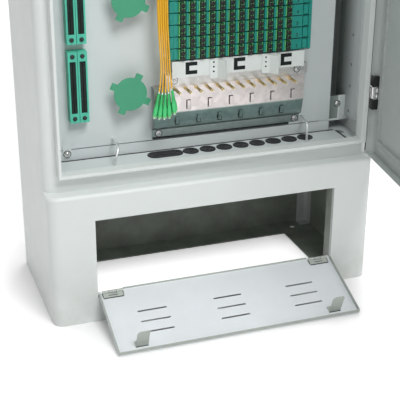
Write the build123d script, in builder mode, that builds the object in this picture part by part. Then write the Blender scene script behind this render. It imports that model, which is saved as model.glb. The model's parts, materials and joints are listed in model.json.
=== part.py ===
# Outdoor fibre cross-connect cabinet on a plinth, with its door open and its vent flap down.
# X runs to the viewer's right, Y to the back and Z up, in millimetres.
# The origin lies on the ground at the centre of the four anchor holes.

from build123d import *
import math
import os

os.makedirs("parts", exist_ok=True)

# Outer shell

width = 750
depth = 336
height = 1750
sheet = 2
plinth_height = 300
corner_radius = 24
back_radius = 10
shoulder_radius = 8
recess_depth = 33
roof_height = 40
roof_bevel = 8

# Door opening and its rain lip

opening_side_margin = 34
sill_rise = 44
head_drop = 34
lip_width = 6
hinge_side_lip = 13
lip_foot = 8
lip_proud = 24
lip_rounding = 1.5

# Plinth opening, base ring and floor

vent_side_margin = 97.5
vent_sill = 58
vent_head_drop = 60
side_return = 35
head_return = 12
base_sheet = 3
base_rim_side = 88
base_rim_front = 48
base_rim_back = 58
anchor_from_side = 53
anchor_from_edge = 30
anchor_radius = 7
floor_rise = 29
floor_flange = 14

# Cable entry

gland_side_gap = 44
gland_front_gap = 3
gland_back_gap = 8
entry_radius = 15.5
entry_pitch = 39.6
entry_count = 8
entry_first_x = -32.4
entry_y = -70
slot_entry_length = 76
slot_entry_x = -91.5
grommet_fit = 0.2
grommet_flange = 2.6
grommet_rise = 2.5
grommet_dish = 1.6
floor_slot_from_side = 31
floor_slot_y = -52
floor_slot_width = 13
floor_slot_length = 25

# Mounting panel

panel_front = -38
panel_side_gap = 55
panel_foot_rise = 27
panel_head_drop = 20
panel_return = 12
panel_return_margin = 70
base_rail_height = 25
rail_foot_depth = 26
bracket_foot_rise = 23
bracket_height = 60
bracket_overlap = 24
bracket_flange = 30
tab_width = 18
tab_inset = 8
tab_foot_rise = 9
tab_height = 24

# Side liners

liner_inset = 15
liner_sheet = 1.5
liner_back = 10
liner_bevel = 10
liner_front = -99
liner_foot_rise = 36
liner_flange = 4
liner_slot_play = 1

# Tray rack

tray_count = 8
tray_pitch = 25.2
tray_play = 1.5
tray_left = -81.2
tray_right = 245.2
tray_front = -74
tray_back = 100
bezel_depth = 14
tray_gap = 1.6
tray_wall = 1.5
tray_inset = 6.7
tray_lift = 3
tray_top_gap = 3.2
rack_wall = 2
rack_play = 0.8
rack_front = -60
rack_back = 110
rack_flange = 18
runner_width = 6
runner_sheet = 1.5
runner_play = 0.3
adapter_count = 12
adapter_pitch = 22.1
adapter_first_x = -55
adapter_width = 12.4
adapter_height = 17
adapter_depth = 30
adapter_proud = 3
end_rib = 7
end_step = 3
end_width = 21.7
spool_ring_radius = 26
spool_ring_wall = 1.5
spool_ring_height = 12

# Rack rail, white guide bracket and cable fixing plate

rail_height = 25
rail_proud = 20
guide_bracket_proud = 42
guide_bracket_left = -78
guide_bracket_right = 229
guide_bracket_height = 35
guide_slot_first_x = -34.6
guide_slot_pitch = 110
guide_slot_width = 26.5
guide_slot_height = 27
guide_slot_stroke = 6.5
wing_first_x = 6.9
wing_pitch = 121
wing_base_width = 17
wing_reach_x = 13
wing_reach_y = 20
wing_foot_drop = 8
wing_head_drop = 2
wing_hole_radius = 2
plate_left = -112
plate_right = 241
plate_sheet = 1.5
plate_foot_rise = 33
plate_height = 118
plate_kink_rise = 58
plate_bend_rise = 24
plate_lean = 8
plate_turn_rise = 16
post_count = 12
post_pitch = 24.5
post_first_x = -65.5
post_radius = 3.2
post_length = 36
post_drop = 6
post_tip_radius = 2.3
post_tip = 5
loop_count = 6
loop_pitch = 49.6
loop_upper_first_x = -34
loop_lower_first_x = -59
loop_upper_rise = 75
loop_lower_rise = 40
loop_width = 7
loop_height = 18
loop_rise = 3.5
loop_sheet = 1.2

# Fixings

screw_radius = 4.2
screw_rise = 3
washer_radius = 7.6
washer_rise = 1.2
plate_screw_inset_left = 15
plate_screw_inset_right = 11
rail_screw_inset_left = 46
rail_screw_inset_right = 18

# Fibre spools and connector parking

spool_x = -167
spool_first_rise = 146.4
spool_pitch = 200
spool_count = 4
spool_radius = 36
spool_reach = 47
spool_lobe_width = 15
spool_disc = 2.5
spool_proud = 32
spool_hub_radius = 14
spool_turn = 62
parking_inset = 23.5
parking_strip_width = 20
parking_gap = 1
parking_first_rise = 92
parking_height = 153
parking_pitch = 169
parking_count = 2
parking_proud = 22
foam_width = 13
foam_margin = 20.5
foam_depth = 16
foam_recess = 2
plug_radius = 4
plug_inset = 9.5

# Bent wire rods

rod_radius = 2
rod_bend = 7
rod_stub = 8
left_rod_foot_x = -214
left_rod_lean = 7
left_rod_head_x = -201
right_rod_foot_x = 235
right_rod_head_x = 247
rod_front = -100
left_rod_bend_rise = 26
left_rod_head_rise = 39.5
right_rod_head_rise = 43

# Pigtails and their plugs

pigtail_radius = 1.4
pigtail_columns = 5
pigtail_top_pitch = 4.7
pigtail_top_x = -110
pigtail_low_pitch = 3.5
pigtail_low_x = -111
pigtail_front = -92
pigtail_row_pitch = 8
pigtail_foot_rise = 158
pigtail_straight = 28
pigtail_sway = 1.6
fanout_foot_rise = 371
fanout_height = 34
fanout_margin = 5
plug_fan_left = -12
plug_fan_step = 2.25
boot_length = 30
boot_radius = 2.9
boot_tip_radius = 1.9
plug_length = 32
plug_width = 8
plug_depth = 7

# Door

door_turn = 82
door_depth = 20
door_gap = 6
pin_from_side = 9
pin_from_front = 16
lip_notch_front = -8
lip_notch_play = 2.5
gasket_width = 12
gasket_gap = 0.5
stiffener_width = 40
stiffener_top = 24
stiffener_rise = 7
stiffener_sheet = 1.2
stiffener_first = -470
stiffener_pitch = 250
stiffener_margin = 70

# Door hinges

hinge_first_rise = 151
hinge_middle_rise = 705
hinge_top_drop = 150
hinge_pin_radius = 2.5
hinge_play = 0.08
knuckle_radius = 5.5
knuckle_height = 26
hinge_block_height = 23
hinge_block_gap = 1.5
hinge_block_left = -9.5
hinge_arm_left = -8
hinge_arm_right = 2
hinge_arm_reach = 27
pin_stub = 3

# Lock

lock_from_edge = 70
lock_rise = 660
escutcheon_width = 36
escutcheon_height = 170
escutcheon_sheet = 4
lock_tube_radius = 12
handle_gap = 0.5
handle_sheet = 9
handle_length = 120
handle_width = 22
handle_tip_width = 14
spindle_radius = 7
spindle_play = 0.3
rod_behind_frame = 5
cam_radius = 20
cam_sheet = 3
crank_radius = 12
crank_pin_radius = 3
crank_pin_length = 5
crank_turn = 45
slot_play = 0.5
slot_length = 12.5
rod_wall = 4
latch_width = 16
latch_sheet = 3
rod_cam_gap = 1
rod_end_gap = 6
guide_wall = 3
guide_height = 14
guide_play = 0.5
guide_near = 90
guide_far = 560

# Vent flap

flap_turn = 111
flap_gap = 2
flap_sheet = 1.5
flap_lip = 10
flap_axis_rise = 6
flap_axis_in = 4
flap_slot_length = 66
flap_slot_height = 4
flap_slot_pitch = 28.75
flap_slot_first = 65
flap_slot_count = 3
flap_group_pitch = 173
flap_knuckle_radius = 3.5
flap_pin_radius = 1.5
flap_hinge_inset = 30.5
flap_hinge_length = 46
flap_knuckle_length = 14
flap_knuckle_gap = 1
flap_notch_play = 1.5
flap_notch_height = 11
flap_leaf_width = 16
clip_inset = 53.5
clip_width = 27
clip_place = 157
clip_rise = 28
clip_foot = 14
clip_sheet = 1
clip_rounding = 6

# Values worked out from the sizes above

side = width / 2
front = -depth / 2
back = depth / 2
recess = front + recess_depth
roof_foot = height - roof_height
wall = side - sheet
frame_back = recess + sheet
lip_front = recess - lip_proud
half_opening = side - opening_side_margin
door_sill = plinth_height + sill_rise
door_head = roof_foot - head_drop
half_vent = side - vent_side_margin
vent_head = plinth_height - vent_head_drop
floor_top = plinth_height + floor_rise
panel_back = panel_front + sheet
half_panel = side - panel_side_gap
panel_foot = floor_top + panel_foot_rise
panel_head = roof_foot - panel_head_drop
rail_head = floor_top + base_rail_height
bracket_foot = floor_top + bracket_foot_rise
tab_left = tab_inset - half_panel
tab_foot = floor_top + tab_foot_rise
tab_head = tab_foot + tab_height
liner_face = side - liner_inset
liner_foot = floor_top + liner_foot_rise
liner_head = panel_head
plate_foot = floor_top + plate_foot_rise
plate_turn = plate_foot + plate_turn_rise
plate_bend = plate_foot + plate_bend_rise
plate_kink = plate_foot + plate_kink_rise
loop_upper_z = plate_foot + loop_upper_rise
loop_lower_z = plate_foot + loop_lower_rise
rail_foot = plate_foot + plate_height
rail_top = rail_foot + rail_height
guide_bracket_top = rail_top + guide_bracket_height
wing_foot = rail_top - wing_foot_drop
wing_head = guide_bracket_top - wing_head_drop
tray_foot = guide_bracket_top + tray_play
tray_head = tray_foot + tray_count * tray_pitch
gland_top = floor_top + sheet
spool_first_z = floor_top + spool_first_rise
parking_left = parking_inset - half_panel
parking_first_z = floor_top + parking_first_rise
left_rod_bend_z = gland_top + left_rod_bend_rise
left_rod_head_z = gland_top + left_rod_head_rise
right_rod_head_z = gland_top + right_rod_head_rise
pigtail_foot_z = floor_top + pigtail_foot_rise
fanout_foot = floor_top + fanout_foot_rise
floor_slot_x = side - floor_slot_from_side
rack_left = tray_left - rack_play - rack_wall
rack_right = tray_right + rack_play + rack_wall
rail_web = panel_front - rail_proud
plate_face = rail_web - 1
bracket_face = panel_front - guide_bracket_proud
pin_x = side - pin_from_side
pin_y = front + pin_from_front
door_cos = math.cos(math.radians(door_turn))
door_sin = math.sin(math.radians(door_turn))
door_foot = plinth_height + door_gap
door_top = roof_foot - door_gap
hinge_first_z = plinth_height + hinge_first_rise
hinge_middle_z = plinth_height + hinge_middle_rise
hinge_heights = (hinge_first_z, hinge_middle_z, roof_foot - hinge_top_drop)
lock_height = plinth_height + lock_rise
door_outer = -pin_from_front
door_skin = door_outer + sheet
door_inner = door_outer + door_depth
door_right = pin_from_side
door_left = door_right - width
lock_x = door_left + lock_from_edge
latch_face = frame_back + rod_behind_frame - pin_y
cam_face = latch_face - rod_cam_gap - cam_sheet
flap_axis_z = vent_sill + flap_gap + flap_axis_rise
flap_axis_y = front + flap_axis_in
flap_foot = -flap_axis_rise
flap_head = vent_head - flap_gap - flap_axis_z
flap_outer = -flap_axis_in
flap_skin = flap_outer + flap_sheet
half_flap = half_vent - flap_gap
flap_hinge_x = half_flap - flap_hinge_inset
clip_x = half_flap - clip_inset
flap_cos = math.cos(math.radians(flap_turn))
flap_sin = math.sin(math.radians(flap_turn))


def level(z):
    return Plane.XY.offset(z)


def facing(y):
    return Plane.XZ.offset(-y)


def across(x):
    return Plane.YZ.offset(x)


def door_level(z):
    return Plane(origin=(pin_x, pin_y, z), x_dir=(door_cos, door_sin, 0), z_dir=(0, 0, 1))


def door_facing(v):
    origin = (pin_x - v * door_sin, pin_y + v * door_cos, 0)
    return Plane(origin=origin, x_dir=(door_cos, door_sin, 0), z_dir=(door_sin, -door_cos, 0))


def flap_facing(v):
    origin = (0, flap_axis_y + v * flap_cos, flap_axis_z + v * flap_sin)
    return Plane(origin=origin, x_dir=(1, 0, 0), z_dir=(0, -flap_cos, -flap_sin))


def flap_across(x):
    return Plane(origin=(x, flap_axis_y, flap_axis_z), x_dir=(0, flap_cos, flap_sin), z_dir=(1, 0, 0))


def span(x0, x1, y0, y1, mode=Mode.ADD):
    with Locations(((x0 + x1) / 2, (y0 + y1) / 2)):
        Rectangle(abs(x1 - x0), abs(y1 - y0), mode=mode)


def ring(places, radius, mode=Mode.ADD):
    with Locations(*places):
        Circle(radius, mode=mode)


def save(piece, name):
    piece.part.label = name
    export_step(piece.part, "parts/" + name + ".step")


# Side and back wrap: one folded sheet whose side edges step back above the plinth

with BuildPart() as side_back_wrap:
    for foot, head, edge in ((0, plinth_height, front), (plinth_height, roof_foot, recess)):
        with BuildSketch(level(foot)) as tier:
            span(-side, side, front, back)
            fillet(tier.vertices().group_by(Axis.Y)[-1], back_radius)
            offset(amount=-sheet, mode=Mode.SUBTRACT)
            span(-side, side, front, edge + corner_radius, Mode.SUBTRACT)
        extrude(amount=head - foot)
save(side_back_wrap, "side_back_wrap")

# Front frame: recessed front sheet with rounded sides and the raised rain lip round the door opening

with BuildPart() as front_frame:
    with BuildSketch(level(plinth_height)) as frame_plan:
        span(-side, side, recess, back)
        fillet(frame_plan.vertices().group_by(Axis.Y)[0], corner_radius)
        offset(amount=-sheet, mode=Mode.SUBTRACT)
        span(-side, side, recess + corner_radius, back, Mode.SUBTRACT)
    extrude(amount=roof_foot - plinth_height)
    with BuildSketch(facing(frame_back)):
        span(-half_opening - lip_width, half_opening + hinge_side_lip, door_sill - lip_foot, door_head + lip_foot)
    extrude(amount=lip_proud + sheet)
    rim = front_frame.faces().sort_by(Axis.Y)[0]
    fillet(rim.outer_wire().edges(), lip_rounding)
    with BuildSketch(facing(frame_back)):
        span(-half_opening, half_opening, door_sill, door_head)
    extrude(amount=lip_proud + sheet, mode=Mode.SUBTRACT)
save(front_frame, "front_frame")

# Plinth front: formed sheet with a rounded shoulder, the shelf above it and the vent opening

with BuildPart() as plinth_front:
    with BuildSketch(level(0)) as plinth_plan:
        span(-side, side, front, back)
        fillet(plinth_plan.vertices().group_by(Axis.Y)[0], corner_radius)
        span(-side, side, front + corner_radius, back, Mode.SUBTRACT)
    extrude(amount=plinth_height)
    rear = plinth_front.faces().sort_by(Axis.Y)[-1]
    base = plinth_front.faces().sort_by(Axis.Z)[0]
    shoulder = plinth_front.faces().sort_by(Axis.Z)[-1].edges().sort_by(Axis.Y)[:-1]
    fillet(shoulder, shoulder_radius)
    rear = plinth_front.faces().sort_by(Axis.Y)[-1]
    base = plinth_front.faces().sort_by(Axis.Z)[0]
    offset(amount=-sheet, openings=[rear, base])
    with BuildSketch(level(plinth_height - sheet)):
        span(-wall, wall, front + corner_radius, recess + corner_radius)
    extrude(amount=sheet)
    with BuildSketch(facing(front)):
        span(-half_vent, half_vent, vent_sill, vent_head)
    extrude(amount=-sheet, mode=Mode.SUBTRACT)
    with BuildSketch(facing(front + sheet)):
        span(-half_vent - sheet, half_vent + sheet, vent_sill - sheet, vent_head + sheet)
        span(-half_vent, half_vent, vent_sill, vent_head, Mode.SUBTRACT)
    extrude(amount=-head_return)
    with BuildSketch(facing(front + sheet)):
        for turn in (-1, 1):
            span(turn * half_vent, turn * (half_vent + sheet), vent_sill - sheet, vent_head + sheet)
    extrude(amount=-side_return)
save(plinth_front, "plinth_front")

# Base ring that is bolted to the foundation

with BuildPart() as base_flange:
    with BuildSketch(level(0)) as base_plan:
        span(-wall, wall, front + sheet, back - sheet)
        fillet(base_plan.vertices().group_by(Axis.Y)[0], corner_radius - sheet)
        fillet(base_plan.vertices().group_by(Axis.Y)[-1], back_radius - sheet)
        rim_x = side - base_rim_side
        span(-rim_x, rim_x, front + base_rim_front, back - base_rim_back, Mode.SUBTRACT)
        with GridLocations(width - 2 * anchor_from_side, depth - 2 * anchor_from_edge, 2, 2):
            Circle(anchor_radius, mode=Mode.SUBTRACT)
    extrude(amount=base_sheet)
save(base_flange, "base_flange")

# Floor pan with the cable entry holes and a flange down behind the front frame

entry_places = [(entry_first_x + entry_pitch * k, entry_y) for k in range(entry_count)]

with BuildPart() as floor_pan:
    with BuildSketch(level(floor_top - sheet)) as floor_plan:
        span(-wall, wall, frame_back, back - sheet)
        fillet(floor_plan.vertices().group_by(Axis.Y)[0], corner_radius - sheet)
        fillet(floor_plan.vertices().group_by(Axis.Y)[-1], back_radius - sheet)
        ring(entry_places, entry_radius, Mode.SUBTRACT)
        with Locations((slot_entry_x, entry_y)):
            SlotOverall(slot_entry_length, 2 * entry_radius, mode=Mode.SUBTRACT)
        with Locations((floor_slot_x, floor_slot_y)):
            SlotOverall(floor_slot_length, floor_slot_width, rotation=90, mode=Mode.SUBTRACT)
    extrude(amount=sheet)
    with BuildSketch(level(floor_top - sheet)):
        flange_x = side - corner_radius
        span(-flange_x, flange_x, frame_back, frame_back + sheet)
    extrude(amount=-floor_flange)
save(floor_pan, "floor_pan")

# Gland plate lying on the floor pan

with BuildPart() as gland_plate:
    with BuildSketch(level(floor_top)):
        gland_x = side - gland_side_gap
        span(-gland_x, gland_x, frame_back + gland_front_gap, panel_front - gland_back_gap)
        ring(entry_places, entry_radius, Mode.SUBTRACT)
        with Locations((slot_entry_x, entry_y)):
            SlotOverall(slot_entry_length, 2 * entry_radius, mode=Mode.SUBTRACT)
    extrude(amount=sheet)
save(gland_plate, "gland_plate")

# Closed rubber grommets in the cable entry holes

with BuildPart() as cable_grommets:
    with BuildSketch(level(gland_top)):
        ring(entry_places, entry_radius + grommet_flange)
        with Locations((slot_entry_x, entry_y)):
            SlotOverall(slot_entry_length + 2 * grommet_flange, 2 * (entry_radius + grommet_flange))
    extrude(amount=grommet_rise)
    with BuildSketch(level(floor_top - sheet)):
        ring(entry_places, entry_radius - grommet_fit)
        with Locations((slot_entry_x, entry_y)):
            SlotOverall(slot_entry_length - 2 * grommet_fit, 2 * (entry_radius - grommet_fit))
    extrude(amount=gland_top - floor_top + sheet)
    with BuildSketch(level(gland_top + grommet_rise)):
        ring(entry_places, entry_radius - grommet_flange)
        with Locations((slot_entry_x, entry_y)):
            SlotOverall(slot_entry_length - 2 * grommet_flange, 2 * (entry_radius - grommet_flange))
    extrude(amount=-grommet_dish, mode=Mode.SUBTRACT)
save(cable_grommets, "cable_grommets")

# Mounting panel with folded sides and the cut-out for the tray rack

with BuildPart() as mounting_panel:
    with BuildSketch(facing(panel_back)):
        span(-half_panel, half_panel, panel_foot, panel_head)
        span(rack_left, rack_right, tray_foot - 0.5, tray_head + 0.5, Mode.SUBTRACT)
    extrude(amount=sheet)
    with BuildSketch(facing(panel_back)):
        return_foot = panel_foot + panel_return_margin
        return_head = panel_head - panel_return_margin
        for turn in (-1, 1):
            span(turn * half_panel, turn * (half_panel - sheet), return_foot, return_head)
    extrude(amount=-panel_return)
save(mounting_panel, "mounting_panel")

# Rail under the panel, standing on the floor, with the joining tab at its left end

with BuildPart() as panel_base_rail:
    with BuildSketch(facing(panel_back)):
        span(-half_panel, half_panel, floor_top, rail_head)
    extrude(amount=sheet)
    with BuildSketch(level(floor_top)):
        span(-half_panel, half_panel, panel_back, panel_back + rail_foot_depth)
    extrude(amount=sheet)
    with BuildSketch(facing(panel_front)):
        span(tab_left, tab_left + tab_width, tab_foot, tab_head)
    extrude(amount=sheet)
save(panel_base_rail, "panel_base_rail")

# Angle brackets that carry the panel off the side walls

bracket_feet = (bracket_foot, panel_head - bracket_height)

with BuildPart() as panel_brackets:
    for foot in bracket_feet:
        with BuildSketch(level(foot)):
            for turn in (-1, 1):
                inner_x = turn * (half_panel - bracket_overlap)
                span(inner_x, turn * wall, panel_back, panel_back + sheet)
                span(turn * wall, turn * (wall - sheet), panel_back, panel_back + bracket_flange)
        extrude(amount=bracket_height)
save(panel_brackets, "panel_brackets")

# Side liners, slotted at both ends over the panel brackets

for name, turn in (("side_liner_left", -1), ("side_liner_right", 1)):
    with BuildPart() as side_liner:
        with BuildSketch(level(liner_foot)):
            with BuildLine():
                Polyline(
                    (turn * wall, liner_front),
                    (turn * liner_face, liner_front + liner_bevel),
                    (turn * liner_face, liner_back),
                    (turn * wall, liner_back),
                    close=True,
                )
            make_face()
            offset(amount=-liner_sheet, kind=Kind.INTERSECTION, mode=Mode.SUBTRACT)
            feet_front = liner_front + liner_sheet + liner_flange
            feet_back = liner_back - liner_sheet - liner_flange
            span(turn * wall, turn * (wall - liner_sheet), feet_front, feet_back, Mode.SUBTRACT)
        extrude(amount=liner_head - liner_foot)
        slot_depth = bracket_height + liner_slot_play
        for foot in bracket_feet:
            with BuildSketch(level(foot - liner_slot_play)):
                slot_front = panel_back - liner_slot_play
                slot_back = panel_back + sheet + liner_slot_play
                span(turn * (liner_face - 1), turn * (liner_face + liner_sheet + 1), slot_front, slot_back)
            extrude(amount=slot_depth + liner_slot_play, mode=Mode.SUBTRACT)
    save(side_liner, name)

# Tray rack: folded sheet with flanges behind the panel and runners for the trays

with BuildPart() as tray_rack:
    with BuildSketch(level(tray_foot)):
        span(rack_left, rack_right, rack_front, rack_back)
        span(rack_left + rack_wall, rack_right - rack_wall, rack_front, rack_back - rack_wall, Mode.SUBTRACT)
        span(rack_left - rack_flange, rack_left, panel_back, panel_back + rack_wall)
        span(rack_right, rack_right + rack_flange, panel_back, panel_back + rack_wall)
    extrude(amount=tray_head - tray_foot)
    for number in range(tray_count):
        runner_top = tray_foot + number * tray_pitch + tray_lift
        with BuildSketch(level(runner_top - runner_sheet)):
            span(rack_left + rack_wall, rack_left + rack_wall + runner_width, rack_front, rack_back - rack_wall)
            span(rack_right - rack_wall, rack_right - rack_wall - runner_width, rack_front, rack_back - rack_wall)
        extrude(amount=runner_sheet)
save(tray_rack, "tray_rack")

# Splice and patch trays: a bezel with adapters in front of an open tray with side ears

body_left = tray_left + tray_inset
body_right = tray_right - tray_inset

for number in range(tray_count):
    foot = tray_foot + number * tray_pitch
    body_foot = foot + tray_lift
    body_head = foot + tray_pitch - tray_top_gap
    with BuildPart() as tray:
        with BuildSketch(facing(tray_front + bezel_depth)):
            span(tray_left, tray_right, foot + tray_gap / 2, foot + tray_pitch - tray_gap / 2)
            span(tray_right - end_width, tray_right, foot + tray_gap / 4, foot + tray_pitch - tray_gap / 4)
        extrude(amount=bezel_depth)
        with BuildSketch(facing(tray_front)):
            span(tray_right - end_width, tray_right - end_rib, foot, foot + tray_pitch)
        extrude(amount=-end_step, mode=Mode.SUBTRACT)
        with BuildSketch(level(body_foot)):
            span(body_left, body_right, tray_front + bezel_depth, tray_back)
        extrude(amount=body_head - body_foot)
        with BuildSketch(level(body_head)):
            wall_in = tray_wall
            span(body_left + wall_in, body_right - wall_in, tray_front + 2 * tray_wall, tray_back - wall_in)
        extrude(amount=body_foot + tray_wall - body_head, mode=Mode.SUBTRACT)
        with BuildSketch(level(body_foot + runner_play)):
            ear_out = tray_inset - rack_play
            span(body_left - ear_out, body_left, tray_front + bezel_depth, tray_back)
            span(body_right, body_right + ear_out, tray_front + bezel_depth, tray_back)
        extrude(amount=tray_wall)
        with BuildSketch(facing(tray_front - adapter_proud)):
            middle = foot + tray_pitch / 2
            with Locations((adapter_first_x + adapter_pitch * (adapter_count - 1) / 2, middle)):
                with GridLocations(adapter_pitch, 1, adapter_count, 1):
                    Rectangle(adapter_width, adapter_height)
        extrude(amount=-adapter_depth)
        with BuildSketch(level(body_foot)):
            middle_y = (tray_front + adapter_depth + tray_back) / 2
            for third in (-1, 1):
                place = ((body_left + body_right) / 2 + third * (body_right - body_left) / 4, middle_y)
                ring([place], spool_ring_radius)
                ring([place], spool_ring_radius - spool_ring_wall, Mode.SUBTRACT)
        extrude(amount=tray_wall + spool_ring_height)
    save(tray, "tray_" + str(number + 1))

# Galvanised channel under the rack

with BuildPart() as rack_rail:
    with BuildSketch(across(rack_left)):
        span(rail_web, panel_front, rail_foot, rail_top)
        span(rail_web + sheet, panel_front, rail_foot + sheet, rail_top - sheet, Mode.SUBTRACT)
    extrude(amount=rack_right - rack_left)
save(rack_rail, "rack_rail")

# White bracket on the channel, with its hooked slots

with BuildPart() as fibre_bracket:
    with BuildSketch(across(guide_bracket_left)):
        span(bracket_face, bracket_face + sheet, rail_top, guide_bracket_top)
        span(bracket_face, panel_front - sheet, rail_top, rail_top + sheet)
    extrude(amount=guide_bracket_right - guide_bracket_left)
    with BuildSketch(facing(bracket_face)):
        middle_z = (rail_top + sheet + guide_bracket_top) / 2
        for k in range(3):
            x = guide_slot_first_x + guide_slot_pitch * k
            half_w = guide_slot_width / 2
            half_h = guide_slot_height / 2
            tongue = half_h - guide_slot_stroke
            span(x - half_w, x + half_w, middle_z - half_h, middle_z + half_h)
            span(x - half_w + guide_slot_stroke, x + half_w, middle_z - tongue, middle_z + tongue, Mode.SUBTRACT)
    extrude(amount=-sheet, mode=Mode.SUBTRACT)
save(fibre_bracket, "fibre_bracket")

# Angled fibre guides fixed on the white bracket

with BuildPart() as fibre_guides:
    for k in range(2):
        x = wing_first_x + wing_pitch * k
        bend = x + wing_base_width
        with BuildSketch(level(wing_foot)):
            with BuildLine():
                Polyline(
                    (x, bracket_face),
                    (x, bracket_face - sheet),
                    (bend, bracket_face - sheet),
                    (bend + wing_reach_x, bracket_face - sheet - wing_reach_y),
                    (bend + wing_reach_x + sheet, bracket_face - wing_reach_y),
                    (bend + sheet, bracket_face),
                    close=True,
                )
            make_face()
        extrude(amount=wing_head - wing_foot)
        with BuildSketch(facing(bracket_face)):
            with Locations((x + wing_base_width / 2, (rail_top + sheet + wing_head) / 2)):
                with GridLocations(1, (wing_head - wing_foot) / 4, 1, 3):
                    Circle(wing_hole_radius)
        extrude(amount=sheet, mode=Mode.SUBTRACT)
save(fibre_guides, "fibre_guides")

# Cable fixing plate: folded sheet with lanced tie loops

with BuildPart() as cable_plate:
    with BuildSketch(across(plate_left)):
        with BuildLine() as fold:
            foot_y = panel_front - plate_sheet
            Polyline(
                (panel_front, rail_foot),
                (plate_face, rail_foot),
                (plate_face, plate_kink),
                (plate_face + plate_lean, plate_bend),
                (foot_y, plate_turn),
                (foot_y, plate_foot),
            )
            offset(amount=plate_sheet, side=Side.LEFT, kind=Kind.INTERSECTION)
        make_face()
    extrude(amount=plate_right - plate_left)
    slope = math.atan2(plate_lean, plate_kink - plate_bend)
    lower_y = plate_face + (plate_kink - loop_lower_z) * math.tan(slope)
    rows = ((loop_upper_first_x, plate_face, loop_upper_z, 0), (loop_lower_first_x, lower_y, loop_lower_z, slope))
    for first_x, y, z, tilt in rows:
        for k in range(loop_count):
            x = first_x + loop_pitch * k
            out = (0, -math.cos(tilt), -math.sin(tilt))
            with BuildSketch(Plane(origin=(x, y, z), x_dir=out, z_dir=(-1, 0, 0))):
                half_h = loop_height / 2
                inner_rise = loop_rise - loop_sheet
                span(-0.3, loop_rise, -half_h, half_h)
                span(-0.3, inner_rise, loop_sheet - half_h, half_h - loop_sheet, Mode.SUBTRACT)
            extrude(amount=loop_width / 2, both=True)
save(cable_plate, "cable_plate")

# Brass posts along the top of the fixing plate

with BuildPart() as brass_posts:
    post_z = rail_foot - post_drop
    post_places = [(post_first_x + post_pitch * k, post_z) for k in range(post_count)]
    with BuildSketch(facing(plate_face)):
        ring(post_places, post_radius)
    extrude(amount=post_length)
    with BuildSketch(facing(plate_face - post_length)):
        ring(post_places, post_tip_radius)
    extrude(amount=post_tip)
save(brass_posts, "brass_posts")

# Pan-head screws and their washers

plate_screw_z = (plate_turn + plate_foot) / 2
rail_screw_z = (rail_foot + rail_top) / 2
bracket_screw_x = (half_panel + liner_face) / 2
bracket_screw_z = bracket_foot + 2 * bracket_height / 3
plate_screw_x = (plate_left + plate_screw_inset_left, plate_right - plate_screw_inset_right)
rail_screw_x = (plate_left + rail_screw_inset_left, plate_right - rail_screw_inset_right)
screw_places = (
    (panel_front - plate_sheet, [(x, plate_screw_z) for x in plate_screw_x]),
    (rail_web, [(x, rail_screw_z) for x in rail_screw_x]),
    (panel_front - sheet, [(tab_left + tab_width / 2, (tab_foot + rail_head) / 2)]),
    (panel_back, [(-bracket_screw_x, bracket_screw_z), (bracket_screw_x, bracket_screw_z)]),
)

with BuildPart() as machine_screws:
    for y, places in screw_places:
        with BuildSketch(facing(y)):
            ring(places, washer_radius)
        extrude(amount=washer_rise)
        with BuildSketch(facing(y - washer_rise)):
            ring(places, screw_radius)
        extrude(amount=screw_rise)
save(machine_screws, "machine_screws")

# Fibre spools: a lobed disc on a hub, down the left of the panel

with BuildPart() as fibre_spools:
    spool_front = panel_front - spool_proud
    spool_places = [(spool_x, spool_first_z + spool_pitch * k) for k in range(spool_count)]
    with BuildSketch(facing(spool_front + spool_disc)):
        with Locations(*spool_places):
            Circle(spool_radius)
            with PolarLocations(spool_reach - spool_lobe_width / 2, 4, start_angle=spool_turn):
                Circle(spool_lobe_width / 2)
                Rectangle(spool_lobe_width, spool_lobe_width)
    extrude(amount=spool_disc)
    with BuildSketch(facing(panel_front)):
        ring(spool_places, spool_hub_radius)
    extrude(amount=spool_proud - spool_disc)
save(fibre_spools, "fibre_spools")

# Parking strips for spare plugs, with their foam inserts

parking_feet = [parking_first_z + parking_pitch * k for k in range(parking_count)]
strip_pitch = parking_strip_width + parking_gap
strip_middles = [parking_left + parking_strip_width / 2 + strip_pitch * k for k in range(2)]
foam_length = parking_height - 2 * foam_margin
plug_places = []
foam_places = []
strip_places = []
for foot in parking_feet:
    for x in strip_middles:
        strip_places.append((x, foot + parking_height / 2))
        foam_places.append((x, foot + parking_height / 2))
        plug_places.append((x, foot + plug_inset))
        plug_places.append((x, foot + parking_height - plug_inset))

with BuildPart() as parking_frames:
    parking_face = panel_front - parking_proud
    with BuildSketch(facing(panel_front)):
        with Locations(*strip_places):
            Rectangle(parking_strip_width, parking_height)
    extrude(amount=parking_proud)
    with BuildSketch(facing(parking_face)):
        with Locations(*foam_places):
            Rectangle(foam_width, foam_length)
        ring(plug_places, plug_radius)
    extrude(amount=-foam_depth, mode=Mode.SUBTRACT)
save(parking_frames, "parking_frames")

with BuildPart() as parking_foams:
    with BuildSketch(facing(parking_face + foam_depth)):
        with Locations(*foam_places):
            Rectangle(foam_width, foam_length)
    extrude(amount=foam_depth - foam_recess)
save(parking_foams, "parking_foams")

# Two bent wire rods from the gland plate back to the panel

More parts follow.
